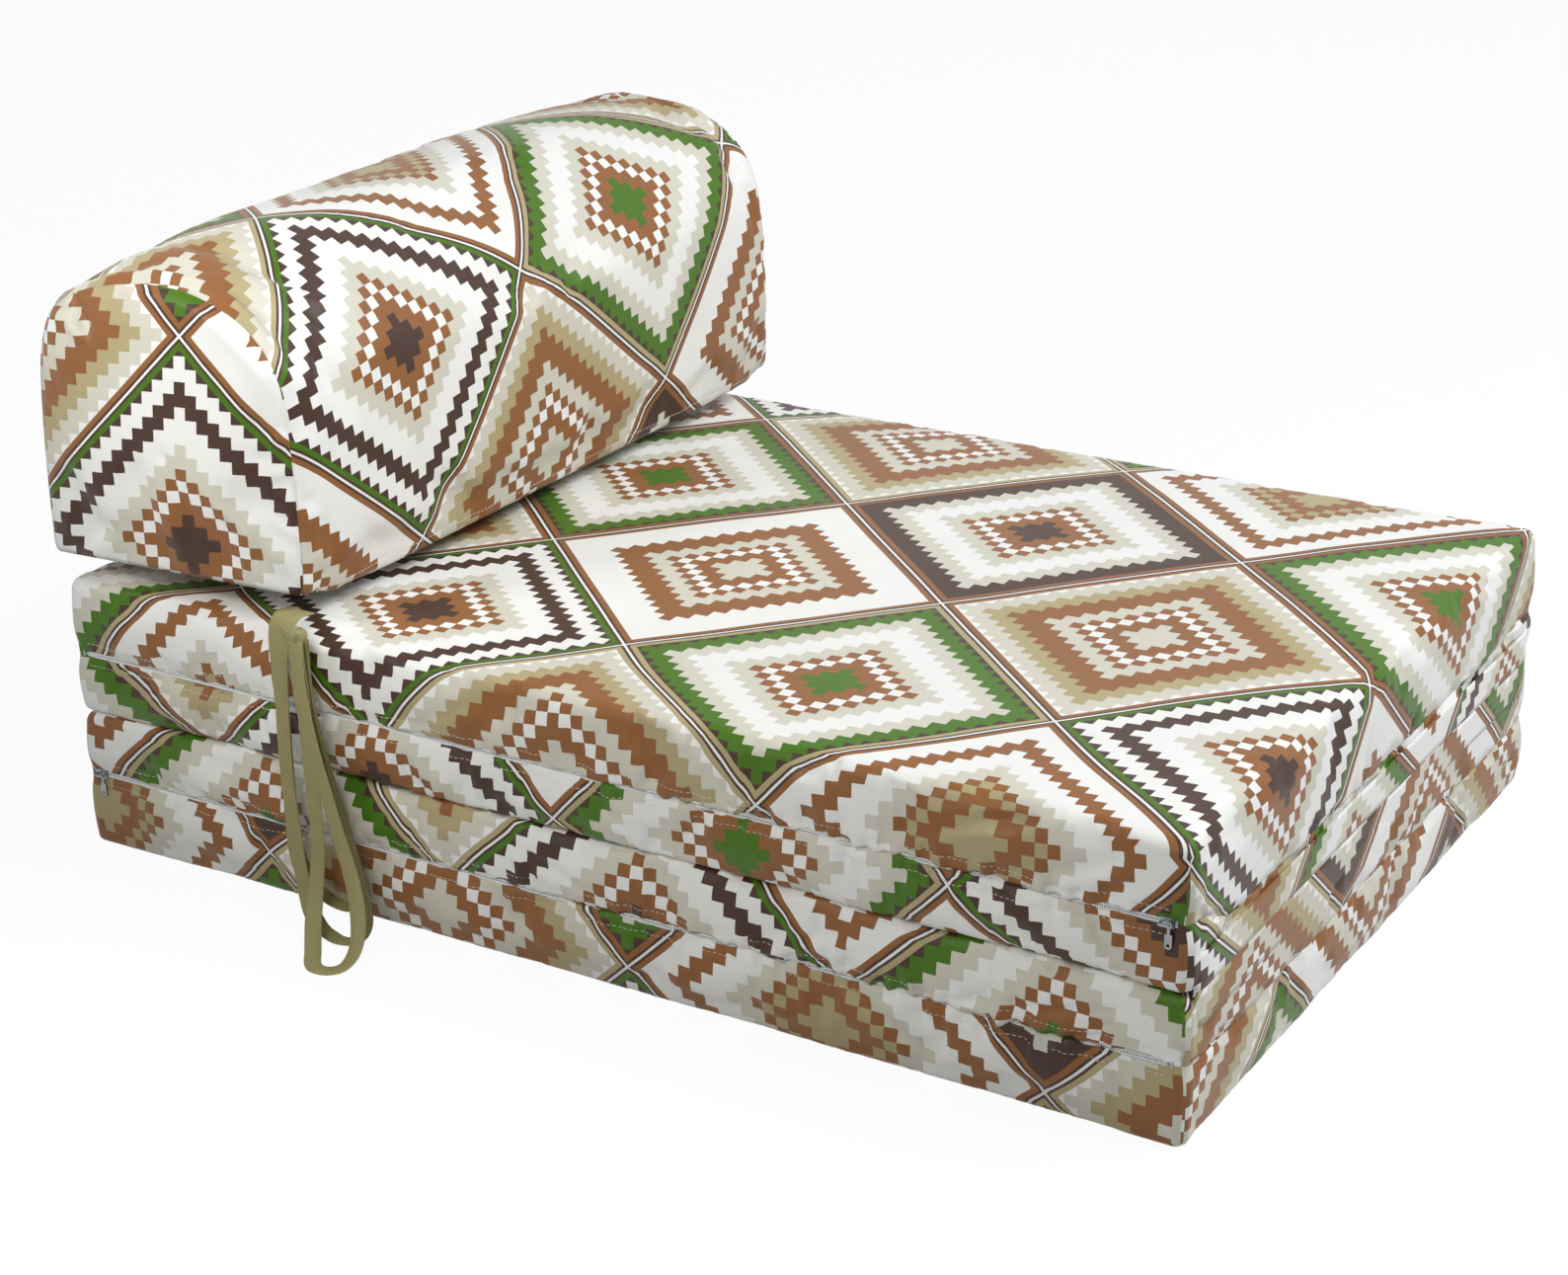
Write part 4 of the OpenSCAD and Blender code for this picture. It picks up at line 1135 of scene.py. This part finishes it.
# Tie tape: x, y, z of the tape's middle in millimetres, and the direction of its width in
# degrees from X seen from above
REAR_ROUTE = [
    (-243, -298, 223, 0), (-243, -305, 224, 0), (-243, -312, 224, 0), (-243, -318, 219, 0),
    (-243, -321, 208, 0), (-242, -322, 184, 0), (-241, -322, 150, 0), (-241, -322, 115, 0),
    (-241, -322, 82, 0), (-240, -322, 56, 14), (-237, -322, 38, 42), (-231, -322, 27, 66),
    (-222, -322, 19, 82), (-211, -322.5, 14, 90), (-200, -323, 12, 92), (-190, -323, 12.5, 98),
    (-183, -322, 17, 116), (-181, -321.5, 26, 142), (-184, -321, 42, 165), (-192, -321, 68, 178),
    (-202, -321, 100, 180), (-212, -321, 136, 180), (-218, -321, 170, 180),
    (-219, -321.3, 196, 180), (-216, -324, 216, 180),
]
MIDDLE_ROUTE = [
    (-230, -299, 223, 0), (-230, -306, 224.3, 0), (-230, -313, 225, 0), (-231, -320, 221, 0),
    (-232.5, -325, 211, 0), (-235, -326.5, 190, 0), (-237, -326.5, 158, 0), (-238, -326.5, 126, 0),
    (-237.5, -326.5, 94, 0), (-235, -326.8, 66, 0), (-231, -328.7, 40, 2), (-226, -331.4, 23, 8),
    (-219.5, -334.7, 10, 20), (-211.5, -338, 3, 36), (-203, -342, 0.9, 52), (-193, -346, 0.9, 66),
    (-183, -349, 0.9, 88), (-174, -347, 0.9, 118), (-169, -341, 2.5, 148), (-169, -334, 9, 166),
    (-174, -328.5, 20, 176), (-181, -326, 40, 180), (-191, -324.5, 70, 180), (-202, -324, 102, 180),
    (-212, -324, 140, 180), (-217, -324, 174, 180), (-217, -325, 200, 180), (-216, -326.4, 216, 180),
]
BOW_ROUTE = [
    (-217, -328.8, 217, 0), (-216, -330.5, 204, 0), (-214, -331, 182, 0), (-213, -331, 150, 0),
    (-212, -331, 112, 0), (-210, -331.5, 84, 0), (-208.5, -334, 58, 2), (-207.5, -339, 38, 8),
    (-204, -347, 24, 20), (-199, -356, 14, 32), (-191, -367, 6, 42), (-184, -376, 2.5, 48),
    (-178, -384, 0.9, 60), (-170, -390, 0.9, 84), (-160, -389, 0.9, 112), (-153, -382, 2, 142),
    (-151, -373, 7, 164), (-153, -364, 15, 176), (-158, -356, 24, 182), (-166, -347, 36, 184),
    (-176, -340, 53, 184), (-187, -336.5, 78, 181), (-197, -335, 108, 180), (-206, -335, 142, 180),
    (-212, -335, 176, 180), (-214, -334, 202, 180), (-216, -331.6, 216, 180),
]
# The tape's flat section round its outline: the share of its half width and the share of its half thickness
# at each point
TAPE_SECTION_SHARES = [(1, -0.4), (1, 0.4), (0.9, 1), (0, 1), (-0.9, 1), (-1, 0.4), (-1, -0.4),
                       (-0.9, -1), (0, -1), (0.9, -1)]
RINGS_BETWEEN = 3


def drop_on_floor(piece):
    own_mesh(piece)


def tape_strand(name, node, route, material):
    """One strand of the tie tape, swept along its route as a closed flat tube."""
    steps = (len(route) - 1) * RINGS_BETWEEN
    points = [spline([r + (0,) * 0 for r in route], k / RINGS_BETWEEN) for k in range(steps + 1)]
    places = [Vector(p[:3]) * MM for p in points]
    bm = bmesh.new()
    uv_layer = bm.loops.layers.uv.new("run")
    made = bmesh.ops.create_circle(bm, segments=len(TAPE_SECTION_SHARES), radius=1, cap_ends=True)
    ring = list(made["verts"])
    run, travelled = 0.0, {}
    for k, place in enumerate(places):
        ahead = (places[min(k + 1, steps)] - places[max(k - 1, 0)]).normalized()
        turn = math.radians(points[k][3])
        wide = Vector((math.cos(turn), math.sin(turn), 0))
        wide = (wide - ahead * wide.dot(ahead)).normalized()
        thick = ahead.cross(wide)
        if k:
            run += (place - places[k - 1]).length
            face = next(f for f in bm.faces if all(v in ring for v in f.verts))
            grown = bmesh.ops.extrude_face_region(bm, geom=[face])["geom"]
            if k > 1:
                bmesh.ops.delete(bm, geom=[face], context="FACES_ONLY")
            new_ring = [g for g in grown if isinstance(g, bmesh.types.BMVert)]
            ring = [min(new_ring, key=lambda v, old=old: (v.co - old.co).length) for old in ring]
        for vert, (across, through) in zip(ring, TAPE_SECTION_SHARES):
            vert.co = place + wide * across * tie_w / 2 + thick * through * tie_t / 2
            travelled[vert] = (run, across * tie_w / 2)
    bmesh.ops.recalc_face_normals(bm, faces=bm.faces)
    for face in bm.faces:
        for loop in face.loops:
            loop[uv_layer].uv = travelled[loop.vert]
    piece = finish_piece(bm, name, material, "bolster", [node])
    drop_on_floor(piece)
    return piece


def tie_knot(material):
    """The knot: a pinched bundle of tape with one turn of tape round it and a short tail."""
    lo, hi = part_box("tie_knot")
    knot_lo_x = hi.x - 16 * MM
    centre = Vector(((knot_lo_x + hi.x) / 2, (lo.y + hi.y) / 2, (lo.z + hi.z) / 2))
    bm = bmesh.new()
    uv_layer = bm.loops.layers.uv.new("run")
    bmesh.ops.create_cube(bm, size=2)
    bmesh.ops.subdivide_edges(bm, edges=list(bm.edges), cuts=7, use_grid_fill=True)
    for vert in bm.verts:
        round_to = vert.co.normalized() * 1.12
        shape = vert.co.lerp(round_to, 0.72)
        waist = 1 - 0.2 * math.exp(-(shape.x / 0.28) ** 2)
        fold = 1 + 0.07 * math.sin(shape.z * 9 + shape.x * 3)
        vert.co = centre + Vector((shape.x * 7.2 * MM, shape.y * 4.9 * MM * waist * fold,
                                   shape.z * 5.4 * MM * waist))
    # one turn of tape round the waist, and the short end that sticks out of it
    section = bmesh.ops.create_circle(bm, segments=8, radius=1)["verts"]
    edges = list({edge for vert in section for edge in vert.link_edges})
    for vert in section:
        vert.co = (vert.co.x * 2.9 * MM, 5.7 * MM + vert.co.y * 0.6 * MM, 0)
    bmesh.ops.spin(bm, geom=edges, cent=(0, 0, 0), axis=(1, 0, 0), angle=math.tau, steps=20, use_merge=True)
    for vert in [v for v in bm.verts if v.co.length < 9 * MM]:
        crease = 0.35 * MM * math.sin(vert.co.x / (0.7 * MM))
        vert.co = centre + Vector((vert.co.x, vert.co.y * 0.92, vert.co.z * 1.02)) + Vector((0, -crease, 0))
    tail = bmesh.ops.create_cube(bm, size=2)["verts"]
    bmesh.ops.subdivide_edges(bm, edges=list({e for v in tail for e in v.link_edges}), cuts=4,
                              use_grid_fill=True)
    for vert in [v for v in bm.verts if v.co.length > 0.9 and abs(v.co.x) <= 1]:
        a, b, c = vert.co
        vert.co = centre + Vector(((-9.5 + a * 4.2) * MM, (-1.5 + b * 0.6 - 0.8 * a) * MM,
                                   (1.2 + c * (3.2 - 0.6 * a) - 1.2 * a) * MM))
    bmesh.ops.recalc_face_normals(bm, faces=bm.faces)
    for face in bm.faces:
        for loop in face.loops:
            p = loop.vert.co - centre
            loop[uv_layer].uv = (p.x, p.z + p.y)
    piece = finish_piece(bm, "tie_knot_bundle", material, "bolster", ["tie_knot"])
    drop_on_floor(piece)
    return piece


# Studio


def seen_background(tree, rays):
    """1 where a ray sees the background itself: from the camera, or in gloss or glass."""
    seen = rays.outputs["Is Camera Ray"]
    for other in ("Is Glossy Ray", "Is Transmission Ray"):
        seen = add(tree, "ShaderNodeMath", {0: seen, 1: rays.outputs[other]},
                   operation="MAXIMUM").outputs[0]
    return seen


def make_studio():
    """A pale floor that keeps the object's shadow, a white surround and soft light."""
    floor_mesh = bpy.data.meshes.new("floor")
    bm = bmesh.new()
    bmesh.ops.create_grid(bm, x_segments=1, y_segments=1, size=8)
    bm.to_mesh(floor_mesh)
    bm.free()
    floor = bpy.data.objects.new("floor", floor_mesh)
    bpy.context.scene.collection.objects.link(floor)
    material, tree, shader = new_material("pale_floor")
    shader.inputs["Base Color"].default_value = srgb("#BABABA")
    shader.inputs["Roughness"].default_value = 0.9
    rays = add(tree, "ShaderNodeLightPath", {})
    seen = seen_background(tree, rays)
    white = add(tree, "ShaderNodeEmission", {"Color": (1, 1, 1, 1), "Strength": 1.07})
    share = add(tree, "ShaderNodeMath", {0: seen, 1: 0.88}, operation="MULTIPLY")
    both = add(tree, "ShaderNodeMixShader", {0: share.outputs[0], 1: shader.outputs[0],
                                             2: white.outputs[0]})
    tree.links.new(both.outputs[0], tree.nodes["Material Output"].inputs["Surface"])
    floor_mesh.materials.append(material)

    world = bpy.data.worlds.new("studio")
    bpy.context.scene.world = world
    world.use_nodes = True
    tree = world.node_tree
    background = tree.nodes["Background"]
    rays = add(tree, "ShaderNodeLightPath", {})
    strength = add(tree, "ShaderNodeMapRange", {0: seen_background(tree, rays), 3: 0.18, 4: 1.0})
    background.inputs["Color"].default_value = (1, 1, 1, 1)
    tree.links.new(strength.outputs[0], background.inputs["Strength"])

    for name, place, goal, size, spread, power, color in (
        ("key_light", (1.8, 0.65, 2.6), (0, 0, 0.15), 1.5, 180, 84.0, (0.97, 0.985, 1.0)),
        ("fill_light", (0.02, -1.05, 0.8), (0, 0, 0.15), 0.5, 180, 4.0, (1.0, 0.99, 0.955)),
        ("bolster_light", (-0.6, -0.85, 0.8), (-0.34, -0.31, 0.41), 0.2, 40, 0.2, (1.0, 0.995, 0.98)),
    ):
        data = bpy.data.lights.new(name, "AREA")
        data.shape = "SQUARE"
        data.size = size
        data.spread = math.radians(spread)
        data.energy = power
        data.color = color
        lamp = bpy.data.objects.new(name, data)
        lamp.location = place
        aim = Vector(goal) - Vector(place)
        lamp.rotation_euler = aim.to_track_quat("-Z", "Y").to_euler()
        bpy.context.scene.collection.objects.link(lamp)
    bpy.context.scene.view_settings.view_transform = "Standard"


make_camera()

tie_cloth = woven_tape("woven_polyester_tie_tape", "#9B9463", 1.1 * MM, 0.7)
knot = tie_knot(tie_cloth)
tape_strand("tie_strand_rear", "tie_tape_rear", REAR_ROUTE, tie_cloth)
tape_strand("tie_strand_middle", "tie_tape_middle", MIDDLE_ROUTE,
            tie_cloth)
tape_strand("tie_strand_bow", "tie_tape_bow", BOW_ROUTE, tie_cloth)

cotton = printed_cotton()
foam = polyurethane_foam()
tape_cloth = woven_tape("woven_polyester_zip_tape", "#E9ECEC", 0.8 * MM, 0.75)
nylon = moulded_nylon()
metal = zinc_casting()
thread = spun_thread()

covers = {}
for half in (
    CoverHalf("lower_cover_base", "lower_block", lower_lo.z, lower_zip_z, foot_edge_r, 0.0, 5 * MM,
              {"near": LOWER_BASE_NEAR, "front": LOWER_BASE_FRONT}, 1.3),
    CoverHalf("lower_cover_top", "lower_block", lower_hi.z, lower_zip_z, fold_edge_r, 0.0, 5 * MM,
              {"near": LOWER_TOP_NEAR, "front": LOWER_TOP_FRONT}, 2.7),
    CoverHalf("upper_cover_base", "upper_block", upper_lo.z, upper_zip_z, fold_edge_r, 0.0, 19 * MM,
              {"near": UPPER_BASE_NEAR, "front": UPPER_BASE_FRONT}, 4.1),
    CoverHalf("upper_cover_top", "upper_block", upper_hi.z, upper_zip_z, seat_edge_r, seat_crown,
              19 * MM, {"seat": SEAT_PRINT}, 5.9),
):
    covers[half.name] = cover_half(half, cotton)
wrap_piece = bolster_pieces(cotton)
foam_piece("lower_foam", "lower_block", foam, lower_hi.z - 3.5 * MM, lower_lo.z + 3.5 * MM, 8 * MM, 0)
foam_piece("upper_foam", "upper_block", foam, upper_hi.z - 5 * MM, upper_lo.z + 3.5 * MM, 14 * MM,
           seat_crown)
bolster_foam(foam)
for level, zip_z in (("lower", lower_zip_z), ("upper", upper_zip_z)):
    zip_pieces(level, level + "_block", zip_z, tape_cloth, nylon, metal)
    near = -half_w - 30 * MM
    stitch_run(level + "_stitches_base", covers[level + "_cover_base"], level + "_block",
               Vector((0, near, zip_z - 8 * MM)), Vector((0, 1, 0)), half_l - 14 * MM, thread)
    stitch_run(level + "_stitches_top", covers[level + "_cover_top"], level + "_block",
               Vector((0, near, zip_z + 9 * MM)), Vector((0, 1, 0)), half_l - 14 * MM, thread)
stitch_run("bolster_stitches_front", wrap_piece, "bolster",
           Vector((bolster_rear + bolster_d + 40 * MM, 0, bolster_z + 9 * MM)), Vector((-1, 0, 0)),
           bolster_half - 6 * MM, thread)
fold_strip("fold_strip_lower_cloth", "fold_strip_lower", "lower_block", LOWER_TOP_FRONT, cotton)
fold_strip("fold_strip_upper_cloth", "fold_strip_upper", "upper_block", UPPER_BASE_FRONT, cotton)
hinge_flap("seat_flap_cloth", "seat_flap", "upper_block", SEAT_PRINT, cotton)
hinge_flap("bolster_flap_cloth", "bolster_flap", "bolster", SEAT_PRINT, cotton)
make_studio()
